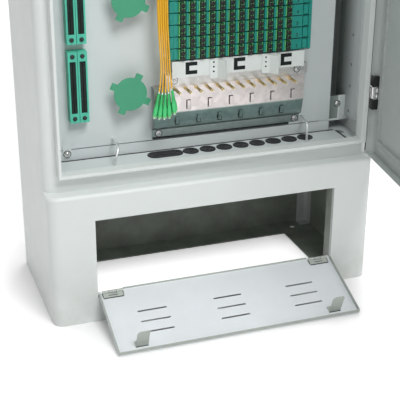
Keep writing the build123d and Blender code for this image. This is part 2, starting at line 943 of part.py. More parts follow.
with BuildPart() as wire_rods:
    with BuildLine() as left_path:
        FilletPolyline(
            (left_rod_foot_x, rod_front, gland_top),
            (left_rod_foot_x, rod_front, gland_top + rod_stub),
            (left_rod_head_x - left_rod_lean, rod_front, left_rod_bend_z),
            (left_rod_head_x, rod_front + 2 * rod_bend, left_rod_head_z),
            (left_rod_head_x, panel_front, left_rod_head_z),
            radius=rod_bend,
        )
    with BuildSketch(Plane(origin=left_path.line @ 0, z_dir=left_path.line % 0)):
        Circle(rod_radius)
    sweep(path=left_path.line)
    with BuildLine() as right_path:
        FilletPolyline(
            (right_rod_foot_x, rod_front, gland_top),
            (right_rod_foot_x, rod_front, right_rod_head_z),
            (right_rod_head_x, panel_front - rod_stub, right_rod_head_z),
            (right_rod_head_x, panel_front, right_rod_head_z),
            radius=rod_bend,
        )
    with BuildSketch(Plane(origin=right_path.line @ 0, z_dir=right_path.line % 0)):
        Circle(rod_radius)
    sweep(path=right_path.line)
save(wire_rods, "wire_rods")

# Fan-out block that holds the upper ends of the pigtails

fanout_right = pigtail_top_x + pigtail_top_pitch * (pigtail_columns - 1) + fanout_margin

with BuildPart() as fanout_block:
    with BuildSketch(level(fanout_foot)):
        span(pigtail_top_x - fanout_margin, fanout_right, pigtail_front - fanout_margin, panel_front)
    extrude(amount=fanout_height)
    fillet(fanout_block.edges().filter_by(Axis.Z).sort_by(Axis.Y)[:2], 3)
save(fanout_block, "fanout_block")

# Pigtails: slack yellow cords with long gentle bends, ending in the boots of their plugs

plug_ends = []
for number in range(2 * pigtail_columns):
    top_x = pigtail_top_x + pigtail_top_pitch * (number // 2)
    low_x = pigtail_low_x + pigtail_low_pitch * number
    y = pigtail_front + pigtail_row_pitch * (number % 2)
    fan = math.radians(plug_fan_left + plug_fan_step * number)
    low = (low_x, y, pigtail_foot_z)
    turn_x = low_x - pigtail_straight * math.sin(fan)
    turn_z = pigtail_foot_z + pigtail_straight * math.cos(fan)
    drop = fanout_foot - turn_z
    points = [
        (top_x, y, fanout_foot),
        (top_x, y, fanout_foot - 0.24 * drop),
        (top_x + 0.3 * (turn_x - top_x), y + pigtail_sway, fanout_foot - 0.5 * drop),
        (top_x + 0.7 * (turn_x - top_x), y, fanout_foot - 0.76 * drop),
        (turn_x, y, turn_z),
        low,
    ]
    runs = [Vector(*b) - Vector(*a) for a, b in zip(points, points[1:])]
    radii = []
    for one, two in zip(runs, runs[1:]):
        half_turn = math.radians(one.get_angle(two)) / 2
        radii.append(0.45 * min(one.length, two.length) / math.tan(half_turn))
    with BuildPart() as pigtail:
        with BuildLine() as route:
            FilletPolyline(*points, radius=radii)
        with BuildSketch(Plane(origin=route.line @ 0, z_dir=route.line % 0)):
            Circle(pigtail_radius)
        sweep(path=route.line)
    plug_ends.append((low, fan, number % 2))
    save(pigtail, "pigtail_" + str(number + 1))
    section = math.pi * pigtail_radius**2
    length = sum(edge.length for edge in route.edges())
    print("pigtail", number + 1, "length", round(length, 1), "bend radii", [round(r) for r in radii])
    print("volume", round(pigtail.part.volume, 1), "section by length", round(section * length, 1))

# Plugs with tapered boots on the ends of the pigtails

with BuildPart() as pigtail_connectors:
    for (x, y, z), fan, row in plug_ends:
        down = (math.sin(fan), 0, -math.cos(fan))
        with BuildSketch(Plane(origin=(x, y, z), x_dir=(0, 1, 0), z_dir=down)):
            Circle(boot_tip_radius)
        with BuildSketch(Plane(origin=Vector(x, y, z) + Vector(*down) * boot_length, x_dir=(0, 1, 0), z_dir=down)):
            Circle(boot_radius)
        loft()
        with BuildSketch(Plane(origin=Vector(x, y, z) + Vector(*down) * boot_length, x_dir=(0, 1, 0), z_dir=down)):
            Rectangle(plug_depth, plug_width)
        extrude(amount=plug_length)
save(pigtail_connectors, "pigtail_connectors")

# Door: folded tray with rounded side edges, notched at the hinges

with BuildPart() as door_panel:
    with BuildSketch(door_level(door_foot)) as door_plan:
        span(door_left, door_right, door_outer, door_outer + 2 * corner_radius)
        fillet(door_plan.vertices().group_by(Axis.Y)[0], corner_radius)
        span(door_left, door_right, door_inner, door_outer + 2 * corner_radius, Mode.SUBTRACT)
    extrude(amount=door_top - door_foot)
    rear = door_panel.faces().sort_by(Axis((0, 0, 0), (-door_sin, door_cos, 0)))[-1]
    offset(amount=-sheet, openings=[rear])
    for z in hinge_heights:
        half = knuckle_height / 2 + lip_notch_play
        with BuildSketch(door_level(z - half)):
            span(1, door_right + 1, lip_notch_front, door_inner + 1)
        extrude(amount=2 * half, mode=Mode.SUBTRACT)
    with BuildSketch(door_facing(door_outer)):
        ring([(lock_x, lock_height)], lock_tube_radius)
    extrude(amount=-sheet, mode=Mode.SUBTRACT)
save(door_panel, "door_panel")

# Rubber gasket on the door, just clear of the rain lip

gasket_front = lip_front - gasket_gap - pin_y
gasket_x = half_opening + lip_width / 2
gasket_left = -gasket_x - pin_x
gasket_right = gasket_x - pin_x
gasket_foot = door_sill - lip_foot / 2
gasket_head = door_head + lip_foot / 2
half_gasket = gasket_width / 2

with BuildPart() as door_gasket:
    with BuildSketch(door_facing(gasket_front)):
        outer_left = gasket_left - half_gasket
        outer_right = gasket_right + half_gasket
        span(outer_left, outer_right, gasket_foot - half_gasket, gasket_head + half_gasket)
        span(
            gasket_left + half_gasket,
            gasket_right - half_gasket,
            gasket_foot + half_gasket,
            gasket_head - half_gasket,
            Mode.SUBTRACT,
        )
    extrude(amount=gasket_front - door_skin)
save(door_gasket, "door_gasket")

# Hat-section stiffeners down the inside of the door

with BuildPart() as door_stiffeners:
    for k in range(2):
        middle = stiffener_first + stiffener_pitch * k
        half_foot = stiffener_width / 2
        half_top = stiffener_top / 2
        with BuildSketch(door_level(door_foot + stiffener_margin)):
            span(middle - half_foot, middle + half_foot, door_skin, door_skin + stiffener_sheet)
            span(middle - half_top, middle + half_top, door_skin, door_skin + stiffener_rise)
            inner_top = half_top - stiffener_sheet
            inner_rise = stiffener_rise - stiffener_sheet
            span(middle - inner_top, middle + inner_top, door_skin, door_skin + inner_rise, Mode.SUBTRACT)
        extrude(amount=door_top - door_foot - 2 * stiffener_margin)
save(door_stiffeners, "door_stiffeners")

# Hinge leaves on the cabinet: a knuckle and an arm shaped to the rounded front edge

with BuildPart() as hinge_body_leaves:
    for z in hinge_heights:
        with BuildSketch(level(z - knuckle_height / 2)):
            span(pin_x + hinge_arm_left, pin_x + hinge_arm_right, pin_y, pin_y + hinge_arm_reach)
            with Locations((side - corner_radius, recess + corner_radius)):
                Circle(corner_radius, mode=Mode.SUBTRACT)
            ring([(pin_x, pin_y)], knuckle_radius)
            ring([(pin_x, pin_y)], hinge_pin_radius + hinge_play, Mode.SUBTRACT)
        extrude(amount=knuckle_height)
save(hinge_body_leaves, "hinge_body_leaves")

# Hinge leaves on the door: two blocks and the plate between them, fitted to the folded edge

with BuildPart() as hinge_door_leaves:
    for z in hinge_heights:
        near = knuckle_height / 2 + hinge_block_gap
        far = near + hinge_block_height
        for foot, head, face in ((-far, -near, door_inner), (near, far, door_inner), (-near, near, door_skin + sheet)):
            with BuildSketch(door_level(z + foot)):
                with Locations((door_right - corner_radius, door_outer + corner_radius)):
                    Circle(corner_radius - sheet)
                span(hinge_block_left, door_right - corner_radius, door_skin, door_outer + corner_radius)
                with Locations(((hinge_block_left + door_right) / 2, (door_skin + face) / 2)):
                    Rectangle(door_right - hinge_block_left, face - door_skin, mode=Mode.INTERSECT)
                if face == door_inner:
                    ring([(0, 0)], hinge_pin_radius, Mode.SUBTRACT)
            extrude(amount=head - foot)
save(hinge_door_leaves, "hinge_door_leaves")

with BuildPart() as hinge_pins:
    for z in hinge_heights:
        half = knuckle_height / 2 + hinge_block_gap + hinge_block_height + pin_stub
        with BuildSketch(level(z - half)):
            ring([(pin_x, pin_y)], hinge_pin_radius)
        extrude(amount=2 * half)
save(hinge_pins, "hinge_pins")

# Lock: plate and tube through the door skin

with BuildPart() as lock_escutcheon:
    with BuildSketch(door_facing(door_outer)) as plate_shape:
        with Locations((lock_x, lock_height - escutcheon_height / 4)):
            RectangleRounded(escutcheon_width, escutcheon_height, escutcheon_width / 3)
    extrude(amount=escutcheon_sheet)
    with BuildSketch(door_facing(door_outer)):
        ring([(lock_x, lock_height)], lock_tube_radius)
    extrude(amount=door_outer - cam_face + 0.5)
    with BuildSketch(door_facing(door_outer - escutcheon_sheet)):
        ring([(lock_x, lock_height)], spindle_radius + spindle_play)
    extrude(amount=door_outer - escutcheon_sheet - cam_face, mode=Mode.SUBTRACT)
save(lock_escutcheon, "lock_escutcheon")

# Turning handle with its spindle, drawn unlocked

with BuildPart() as lock_handle:
    handle_back = door_outer - escutcheon_sheet - handle_gap
    with BuildSketch(door_facing(handle_back)):
        with Locations((lock_x, lock_height)):
            Circle(handle_width / 2 + 2)
        with BuildLine():
            half_hub = handle_width / 2
            half_tip = handle_tip_width / 2
            Polyline(
                (lock_x, lock_height + half_hub),
                (lock_x, lock_height - half_hub),
                (lock_x + handle_length, lock_height - half_tip),
                (lock_x + handle_length, lock_height + half_tip),
                close=True,
            )
        make_face()
    extrude(amount=handle_sheet)
    with BuildSketch(door_facing(handle_back)):
        ring([(lock_x, lock_height)], spindle_radius)
    extrude(amount=handle_back - cam_face - cam_sheet)
save(lock_handle, "lock_handle")

# Cam on the spindle with the two crank pins that drive the latch rods

crank_x = crank_radius * math.cos(math.radians(crank_turn))
crank_z = crank_radius * math.sin(math.radians(crank_turn))
crank_places = [(lock_x - crank_x, lock_height - crank_z), (lock_x + crank_x, lock_height + crank_z)]

with BuildPart() as lock_cam:
    with BuildSketch(door_facing(cam_face)):
        ring([(lock_x, lock_height)], cam_radius)
        ring([(lock_x, lock_height)], spindle_radius, Mode.SUBTRACT)
    extrude(amount=-cam_sheet)
    with BuildSketch(door_facing(cam_face + cam_sheet)):
        ring(crank_places, crank_pin_radius)
    extrude(amount=-crank_pin_length)
save(lock_cam, "lock_cam")

# Latch rods: flat bars with a cross slot for the crank pin

slot_height = 2 * (crank_pin_radius + slot_play)
latch_x = (crank_x + crank_radius) / 2
latch_inner_end = crank_z + slot_height / 2 + rod_wall

for name, turn, end_z in (
    ("upper_latch_rod", 1, door_head - rod_end_gap),
    ("lower_latch_rod", -1, door_sill + rod_end_gap),
):
    with BuildPart() as latch_rod:
        with BuildSketch(door_facing(latch_face)):
            middle = lock_x - turn * latch_x
            half = latch_width / 2
            span(middle - half, middle + half, lock_height - turn * latch_inner_end, end_z)
            span(
                middle - slot_length / 2,
                middle + slot_length / 2,
                lock_height - turn * crank_z - slot_height / 2,
                lock_height - turn * crank_z + slot_height / 2,
                Mode.SUBTRACT,
            )
        extrude(amount=-latch_sheet)
    save(latch_rod, name)

# Straps on the door skin that guide the latch rods

with BuildPart() as rod_guides:
    for turn in (-1, 1):
        for distance in (guide_near, guide_far):
            z = lock_height + turn * distance - guide_height / 2
            half = latch_width / 2 + guide_play
            middle = lock_x - turn * latch_x
            outer_face = latch_face + latch_sheet + guide_play
            with BuildSketch(door_level(z)):
                span(middle - half - guide_wall, middle + half + guide_wall, door_skin, outer_face + guide_wall)
                span(middle - half, middle + half, latch_face - guide_play, outer_face, Mode.SUBTRACT)
                cross_back = latch_face - guide_play - guide_wall
                span(middle - half, middle + half, door_skin, cross_back, Mode.SUBTRACT)
            extrude(amount=guide_height)
save(rod_guides, "rod_guides")

# Vent flap: folded plate with three rows of slots, notched at its hinges

with BuildPart() as vent_flap:
    with BuildSketch(flap_facing(flap_outer)):
        span(-half_flap, half_flap, flap_foot, flap_head)
        for turn in (-1, 1):
            notch_half = flap_hinge_length / 2 + flap_notch_play
            notch_x = turn * flap_hinge_x
            span(notch_x - notch_half, notch_x + notch_half, flap_foot, flap_foot + flap_notch_height, Mode.SUBTRACT)
        slot_middle = flap_slot_first + flap_slot_pitch * (flap_slot_count - 1) / 2
        with Locations((0, slot_middle)):
            with GridLocations(flap_group_pitch, flap_slot_pitch, 3, flap_slot_count):
                SlotOverall(flap_slot_length, flap_slot_height, mode=Mode.SUBTRACT)
    extrude(amount=-flap_sheet)
    with BuildSketch(flap_facing(flap_skin)):
        span(-half_flap, half_flap, flap_axis_rise, flap_head)
        lip_inner = half_flap - flap_sheet
        span(-lip_inner, lip_inner, flap_axis_rise, flap_head - flap_sheet, Mode.SUBTRACT)
    extrude(amount=-flap_lip)
save(vent_flap, "vent_flap")

# Clips and hinge leaves on the inside of the flap

with BuildPart() as flap_clips:
    for turn in (-1, 1):
        clip_plane = Plane(
            origin=(turn * clip_x, flap_axis_y - clip_place * flap_sin, flap_axis_z + clip_place * flap_cos),
            x_dir=(1, 0, 0),
            z_dir=(0, -flap_sin, flap_cos),
        )
        with BuildSketch(clip_plane) as clip_shape:
            span(-clip_width / 2, clip_width / 2, flap_skin, flap_skin + clip_rise)
            fillet(clip_shape.vertices().sort_by(Axis.Y)[-2:], clip_rounding)
        extrude(amount=-clip_sheet)
        with BuildSketch(flap_facing(flap_skin)):
            middle = turn * clip_x
            span(middle - clip_width / 2, middle + clip_width / 2, clip_place - clip_foot, clip_place)
        extrude(amount=-clip_sheet)
        hinge_left = turn * flap_hinge_x - flap_hinge_length / 2
        with BuildSketch(flap_facing(flap_skin)):
            span(hinge_left, hinge_left + flap_hinge_length, flap_foot + flap_notch_height, flap_leaf_width)
        extrude(amount=-flap_sheet)
        for k in range(2):
            knuckle_left = hinge_left + k * (flap_hinge_length - flap_knuckle_length)
            with BuildSketch(flap_across(knuckle_left)):
                span(flap_skin, flap_skin + flap_sheet, 0, flap_leaf_width)
                ring([(0, 0)], flap_knuckle_radius)
                ring([(0, 0)], flap_pin_radius, Mode.SUBTRACT)
            extrude(amount=flap_knuckle_length)
save(flap_clips, "flap_clips")

# Hinge leaves on the sill of the vent opening, and the hinge pins

with BuildPart() as flap_hinge_leaves:
    for turn in (-1, 1):
        stem_length = flap_hinge_length - 2 * (flap_knuckle_length + flap_knuckle_gap)
        stem_left = turn * flap_hinge_x - stem_length / 2
        with BuildSketch(across(stem_left)):
            span(flap_axis_y - flap_sheet, flap_axis_y + flap_sheet, vent_sill, flap_axis_z)
            span(flap_axis_y, front + sheet + head_return, vent_sill, vent_sill + flap_sheet)
            ring([(flap_axis_y, flap_axis_z)], flap_knuckle_radius)
            ring([(flap_axis_y, flap_axis_z)], flap_pin_radius + hinge_play, Mode.SUBTRACT)
        extrude(amount=stem_length)
save(flap_hinge_leaves, "flap_hinge_leaves")

with BuildPart() as flap_hinge_pins:
    for turn in (-1, 1):
        with BuildSketch(across(turn * flap_hinge_x - flap_hinge_length / 2)):
            ring([(flap_axis_y, flap_axis_z)], flap_pin_radius)
        extrude(amount=flap_hinge_length)
save(flap_hinge_pins, "flap_hinge_pins")

# Roof cap with bevelled top edges and a soffit over the recessed front

with BuildPart() as roof_cap:
    with BuildSketch(level(roof_foot)) as roof_plan:
        span(-side, side, front, back)
        fillet(roof_plan.vertices().group_by(Axis.Y)[0], corner_radius)
        fillet(roof_plan.vertices().group_by(Axis.Y)[-1], back_radius)
    extrude(amount=roof_height)
    chamfer(roof_cap.faces().sort_by(Axis.Z)[-1].edges(), length=roof_bevel)
    offset(amount=-sheet, openings=[roof_cap.faces().sort_by(Axis.Z)[0]])
    with BuildSketch(level(roof_foot)) as soffit:
        span(-side, side, front, back)
        fillet(soffit.vertices().group_by(Axis.Y)[0], corner_radius)
        span(-side, side, recess + corner_radius, back, Mode.SUBTRACT)
    extrude(amount=sheet)
save(roof_cap, "roof_cap")
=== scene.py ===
"""Looks for the roadside cabinet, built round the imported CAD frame.

Places and sizes are in millimetres unless a comment says metres.
"""

import json
import math

import bmesh
import bpy
from mathutils import Matrix, Vector


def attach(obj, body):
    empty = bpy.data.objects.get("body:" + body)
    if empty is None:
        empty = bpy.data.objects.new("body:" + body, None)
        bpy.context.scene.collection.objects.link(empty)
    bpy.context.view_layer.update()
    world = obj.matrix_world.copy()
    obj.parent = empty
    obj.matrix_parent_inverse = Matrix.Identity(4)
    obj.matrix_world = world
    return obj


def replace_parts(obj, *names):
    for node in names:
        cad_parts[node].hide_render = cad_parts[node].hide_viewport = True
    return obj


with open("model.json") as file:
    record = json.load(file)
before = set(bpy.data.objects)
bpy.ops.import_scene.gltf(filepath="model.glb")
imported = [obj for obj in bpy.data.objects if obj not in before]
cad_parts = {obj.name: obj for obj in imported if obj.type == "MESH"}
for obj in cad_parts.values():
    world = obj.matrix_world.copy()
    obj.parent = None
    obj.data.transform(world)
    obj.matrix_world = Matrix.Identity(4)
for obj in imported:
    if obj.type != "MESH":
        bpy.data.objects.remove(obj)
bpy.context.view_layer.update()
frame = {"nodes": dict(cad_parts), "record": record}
nodes = frame["nodes"]
scene = bpy.context.scene
MM = 0.001
radians = math.radians


# Camera (metres)

camera_place = (-0.7226, -2.0598, 1.1247)
camera_lens = 91.46
azimuth = radians(19.7)
elevation = radians(23.4)
roll = radians(0.3)
forward = Vector(
    (math.sin(azimuth) * math.cos(elevation), math.cos(azimuth) * math.cos(elevation), -math.sin(elevation))
)
level_right = Vector((math.cos(azimuth), -math.sin(azimuth), 0))
level_up = level_right.cross(forward)
right = level_right * math.cos(roll) + level_up * math.sin(roll)
up = level_up * math.cos(roll) - level_right * math.sin(roll)
camera_data = bpy.data.cameras.new("camera")
camera_data.sensor_width = 36
camera_data.lens = camera_lens
camera_data.clip_end = 60
camera = bpy.data.objects.new("camera", camera_data)
scene.collection.objects.link(camera)
turn = Matrix((right, up, -forward)).transposed().to_4x4()
camera.matrix_world = Matrix.Translation(camera_place) @ turn
scene.camera = camera
scene.view_settings.view_transform = "Standard"


# Places of the CAD parts that the pieces below sit on

door_pin = (366, -152)
door_turn = radians(82)
door_skin_inside = -14.6
hinge_heights = (451, 1005, 1560)

flap_axis = (-164, 66)
flap_open = radians(111)
flap_clip_x = 222
flap_leaf_x = 245

liner_face = 360
floor_top = 329
gland_top = 331
entry_y = -70
entry_first_x = -32.4
entry_pitch = 39.6
entry_count = 8
slot_entry_x = -91.5
slot_entry_stretch = 22.5

tray_count = 8
tray_foot = 541.5
tray_pitch = 25.2
adapter_count = 12
adapter_first_x = -55
adapter_pitch = 22.1
adapter_rise = 12.6

plate_face = -59
plate_lean = 8
plate_lean_height = 34
post_count = 12
post_first_x = -65.5
post_pitch = 24.5
post_height = 474
loop_count = 6
loop_pitch = 49.6
upper_loop = (-34, 437)
lower_loop = (-59, 402)

bracket_front = -80
bracket_slot_height = 523.5
bracket_slot_first_x = -34.6
bracket_slot_pitch = 110
guide_hole_height = 522.5
guide_hole_rise = 10.25
guide_hole_first_x = 15.4
guide_pitch = 121

parking_feet = (421, 590)
parking_strips_x = (-286.5, -265.5)

pigtail_count = 10
pigtail_radius = 1.4
pigtail_top = (-110, 700)
pigtail_top_pitch = 4.7
pigtail_low = (-111, 487)
pigtail_low_pitch = 3.5
pigtail_front = -92
pigtail_row_pitch = 8
pigtail_straight = 28
pigtail_sway = 1.6
pigtail_fan_start = -12
pigtail_fan_step = 2.25


# Materials. Noise and dust heights are in metres; boxes, rims, depths and bands in millimetres.


def tint(red, green, blue):
    """Linear colour of an sRGB one."""
    parts = [c / 255 for c in (red, green, blue)]
    return tuple(c / 12.92 if c <= 0.04045 else ((c + 0.055) / 1.055) ** 2.4 for c in parts) + (1.0,)


class Finish:
    """A Principled material whose colour, roughness and bump come from object-space noise."""

    def __init__(self, name, rough, metallic=0.0, specular=0.5, coat=0.0, sheen=0.0):
        self.material = bpy.data.materials.new(name)
        self.material.use_nodes = True
        self.tree = self.material.node_tree
        self.shader = self.tree.nodes["Principled BSDF"]
        self.coords = self.new("ShaderNodeTexCoord").outputs["Object"]
        self.shader.inputs["Roughness"].default_value = rough
        self.shader.inputs["Metallic"].default_value = metallic
        self.shader.inputs["Specular IOR Level"].default_value = specular
        self.shader.inputs["Coat Weight"].default_value = coat
        self.shader.inputs["Coat Roughness"].default_value = 0.1
        self.shader.inputs["Sheen Weight"].default_value = sheen

    def new(self, kind):
        return self.tree.nodes.new(kind)

    def link(self, source, target):
        self.tree.links.new(source, target)

    def stretched(self, scale):
        node = self.new("ShaderNodeMapping")
        node.inputs["Scale"].default_value = scale
        self.link(self.coords, node.inputs["Vector"])
        return node.outputs["Vector"]

    def noise(self, scale, detail=2.0, rough=0.5, stretch=None):
        node = self.new("ShaderNodeTexNoise")
        node.inputs["Scale"].default_value = scale
        node.inputs["Detail"].default_value = detail
        node.inputs["Roughness"].default_value = rough
        self.link(self.stretched(stretch) if stretch else self.coords, node.inputs["Vector"])
        return node.outputs["Fac"]

    def cells(self, scale, output="Color"):
        node = self.new("ShaderNodeTexVoronoi")
        node.feature = "F1"
        node.inputs["Scale"].default_value = scale
        self.link(self.coords, node.inputs["Vector"])
        return node.outputs[output]

    def spread(self, value, low, high, start=0.0, end=1.0):
        node = self.new("ShaderNodeMapRange")
        node.inputs["From Min"].default_value = low
        node.inputs["From Max"].default_value = high
        node.inputs["To Min"].default_value = start
        node.inputs["To Max"].default_value = end
        self.link(value, node.inputs["Value"])
        return node.outputs["Result"]

    def place(self, axis):
        node = self.new("ShaderNodeSeparateXYZ")
        self.link(self.coords, node.inputs["Vector"])
        return node.outputs[axis]

    def height(self):
        return self.place("Z")

    def along(self, direction):
        """Distance along a direction of object space, in metres."""
        node = self.new("ShaderNodeVectorMath")
        node.operation = "DOT_PRODUCT"
        self.link(self.coords, node.inputs[0])
        node.inputs[1].default_value = direction
        return node.outputs["Value"]

    def within(self, low, high):
        """1 inside a box of object space, 0 outside it. An edge of None is open."""
        node = self.new("ShaderNodeSeparateXYZ")
        self.link(self.coords, node.inputs["Vector"])
        inside = None
        for axis in range(3):
            for edge, kind in ((low[axis], "GREATER_THAN"), (high[axis], "LESS_THAN")):
                if edge is None:
                    continue
                test = self.new("ShaderNodeMath")
                test.operation = kind
                test.inputs[1].default_value = edge * MM
                self.link(node.outputs[axis], test.inputs[0])
                tested = test.outputs["Value"]
                inside = tested if inside is None else self.times(inside, tested)
        return inside

    def mix(self, factor, one, two, mode="MIX"):
        node = self.new("ShaderNodeMix")
        node.data_type = "RGBA"
        node.blend_type = mode
        for socket, value in ((node.inputs[0], factor), (node.inputs[6], one), (node.inputs[7], two)):
            if isinstance(value, bpy.types.NodeSocket):
                self.link(value, socket)
            else:
                socket.default_value = value
        return node.outputs[2]

    def times(self, one, two):
        node = self.new("ShaderNodeMath")
        node.operation = "MULTIPLY"
        self.link(one, node.inputs[0])
        if isinstance(two, bpy.types.NodeSocket):
            self.link(two, node.inputs[1])
        else:
            node.inputs[1].default_value = two
        return node.outputs["Value"]

    def colour(self, value):
        self.link(value, self.shader.inputs["Base Color"])
        return self

    def roughness(self, value, low, high, start, end):
        self.link(self.spread(value, low, high, start, end), self.shader.inputs["Roughness"])
        return self

    def bump(self, value, strength, distance, under=None):
        node = self.new("ShaderNodeBump")
        node.inputs["Strength"].default_value = strength
        node.inputs["Distance"].default_value = distance
        self.link(value, node.inputs["Height"])
        if under is not None:
            self.link(under, node.inputs["Normal"])
        return node.outputs["Normal"]

    def normal(self, value):
        self.link(value, self.shader.inputs["Normal"])
        return self


def shade(colour, factor):
    return tuple(c * factor for c in colour[:3]) + (1.0,)


def powder_coat(
    name, colour, rough, peel, grime=0.0, plinth_inside_shade=None, rims=None, bracket=None, deep=None
):
    """Powder coat: orange peel, faint cloudiness and fine speckle.

    grime adds a film of dust low down. The other options paint light and shade on a part of the
    surface: painted shade inside the plinth, painted shade on the rims along a direction,
    painted shade and a painted highlight on the steps of the panel bracket, and painted shade
    along the depth of a liner.
    """
    f = Finish(name, rough, specular=0.45)
    cloud = f.noise(3.0, 4.0, 0.55)
    base = f.mix(f.spread(cloud, 0.3, 0.7), shade(colour, 0.965), shade(colour, 1.02))
    speck = f.spread(f.noise(1400.0, 1.0), 0.62, 0.75)
    base = f.mix(f.times(speck, 0.10), base, shade(colour, 0.72))
    scuff = f.times(f.spread(f.noise(38.0, 5.0, 0.7), 0.66, 0.78), f.spread(f.noise(6.0, 2.0), 0.5, 0.7))
    base = f.mix(f.times(scuff, 0.16), base, shade(colour, 0.8))
    if grime:
        low = f.spread(f.height(), 0.16, 0.0)
        dust = f.times(low, f.spread(f.noise(16.0, 5.0, 0.65), 0.35, 0.75))
        base = f.mix(f.times(dust, grime), base, tint(150, 142, 128))
    # Painted shade inside the plinth: a darker tone, uneven in patches, over the given boxes.
    if plinth_inside_shade:
        shade_tone, *boxes = plinth_inside_shade
        patches = f.spread(f.noise(14.0, 4.0, 0.6), 0.35, 0.7)
        uneven_shade = f.mix(patches, shade(shade_tone, 0.8), shade(shade_tone, 1.25))
        for low, high in boxes:
            base = f.mix(f.within(low, high), base, uneven_shade)
    # Painted shade: a darker tone beyond a plane along the given direction, on lips that face another way
    # to the light.
    if rims:
        direction, start, end, tone = rims
        base = f.mix(f.spread(f.along(direction), start * MM, end * MM), base, tone)
    # Painted shade that darkens towards larger Y, the back of a liner.
    if deep:
        start, end, tone = deep
        base = f.mix(f.spread(f.place("Y"), start * MM, end * MM), base, tone)
    # Painted shade and a painted highlight on the panel bracket's steps.
    if bracket:
        near, far, edge, light = bracket
        tone = f.mix(f.spread(f.place("X"), edge[0] * MM - 0.026, edge[0] * MM), near, far)
        base = f.mix(f.within((0, None, None), (edge[0], None, None)), base, tone)
        base = f.mix(f.within((edge[0], None, None), (edge[1], None, None)), base, light)
        base = f.mix(f.within((0, None, None), (edge[1], None, edge[2])), base, light)
    f.colour(base)
    f.roughness(f.noise(22.0, 3.0), 0.3, 0.7, rough - 0.05, rough + 0.07)
    waves = f.bump(f.noise(28.0, 2.0), 0.10, 0.0004)
    f.normal(f.bump(f.noise(620.0, 2.0, 0.5), peel, 0.00025, waves))
    return f.material


def moulded(name, colour, rough, grain=0.12, deep=0.86, specular=0.5, coat=0.0):
    """Moulded plastic: spark-eroded grain, slight flow marks and a little dust."""
    f = Finish(name, rough, specular=specular, coat=coat)
    flow = f.noise(26.0, 3.0, 0.6, stretch=(1.0, 1.0, 0.35))
    base = f.mix(f.spread(flow, 0.3, 0.7), shade(colour, deep), colour)
    dust = f.spread(f.noise(240.0, 4.0, 0.7), 0.6, 0.8)
    f.colour(f.mix(f.times(dust, 0.06), base, tint(205, 205, 198)))
    f.roughness(f.noise(70.0, 2.0), 0.3, 0.7, rough - 0.04, rough + 0.08)
    f.normal(f.bump(f.noise(1100.0, 2.0, 0.6), grain, 0.0002))
    return f.material


def zinc(name, bands=()):
    """Galvanised sheet: spangle, faint rolling lines and dull patches.

    Bands are (lower edge, tint) pairs from the top down, which tint the sheet by height: painted reflection
    and painted shade.
    """
    f = Finish(name, 0.36, metallic=1.0)
    spangle = f.cells(95.0)
    grey = f.new("ShaderNodeSeparateColor")
    f.link(spangle, grey.inputs["Color"])
    dark_zinc, light_zinc = (0.60, 0.595, 0.59, 1), (0.72, 0.71, 0.705, 1)
    base = f.mix(f.spread(grey.outputs["Red"], 0.0, 1.0), dark_zinc, light_zinc)
    stain = f.spread(f.noise(9.0, 5.0, 0.65), 0.45, 0.7)
    base = f.mix(f.times(stain, 0.30), base, (0.52, 0.53, 0.53, 1))
    if bands:
        tone = bands[0][1]
        for (edge, _), (_, colour) in zip(bands, bands[1:]):
            below = f.spread(f.height(), (edge + 1.5) * MM, (edge - 1.5) * MM)
            tone = f.mix(below, tone, colour)
        base = f.mix(1.0, base, tone, "MULTIPLY")
    f.colour(base)
    f.roughness(grey.outputs["Green"], 0.0, 1.0, 0.30, 0.46)
    lines = f.bump(f.noise(30.0, 3.0, 0.6, stretch=(1.0, 1.0, 22.0)), 0.10, 0.0002)
    f.normal(f.bump(f.cells(95.0, output="Distance"), 0.10, 0.0003, lines))
    return f.material


def plain_metal(name, colour, rough, stretch=(1.0, 1.0, 0.08), tarnish=0.25, dark=0.55):
    """Plated or turned metal: fine tool lines and a slight tarnish."""
    f = Finish(name, rough, metallic=1.0)
    spots = f.spread(f.noise(60.0, 5.0, 0.7), 0.45, 0.72)
    f.colour(f.mix(f.times(spots, tarnish), colour, shade(colour, dark)))
    f.roughness(f.noise(160.0, 3.0), 0.3, 0.7, rough - 0.05, rough + 0.1)
    f.normal(f.bump(f.noise(900.0, 2.0, 0.6, stretch=stretch), 0.14, 0.0001))
    return f.material


def soft_black(name, colour, rough, pores, strength):
    """Rubber or foam: matt, slightly dusty, with a porous skin."""
    f = Finish(name, rough, specular=0.35, sheen=0.08)
    dust = f.spread(f.noise(90.0, 5.0, 0.7), 0.5, 0.75)
    f.colour(f.mix(f.times(dust, 0.22), colour, tint(96, 98, 100)))
    f.roughness(f.noise(45.0, 2.0), 0.3, 0.7, rough - 0.06, rough + 0.08)
    f.normal(f.bump(f.noise(pores, 3.0, 0.7), strength, 0.0004))
    return f.material


# Painted shade inside the plinth, where it is unlit: a dark tone and the boxes it covers.
plinth_painted_shade = (
    tint(152, 158, 148),
    ((-345, -158, None), (345, 166.6, 297.5)),
    ((-373.6, -130, None), (373.6, 140, 297.5)),
)
outer_colour = tint(218, 223, 221)
inner_colour = tint(206, 213, 213)
paint = powder_coat(
    "paint_outer_plinth_shade", outer_colour, 0.42, 0.16, grime=0.30, plinth_inside_shade=plinth_painted_shade
)
paint_inner = powder_coat("paint_inner", inner_colour, 0.46, 0.14)
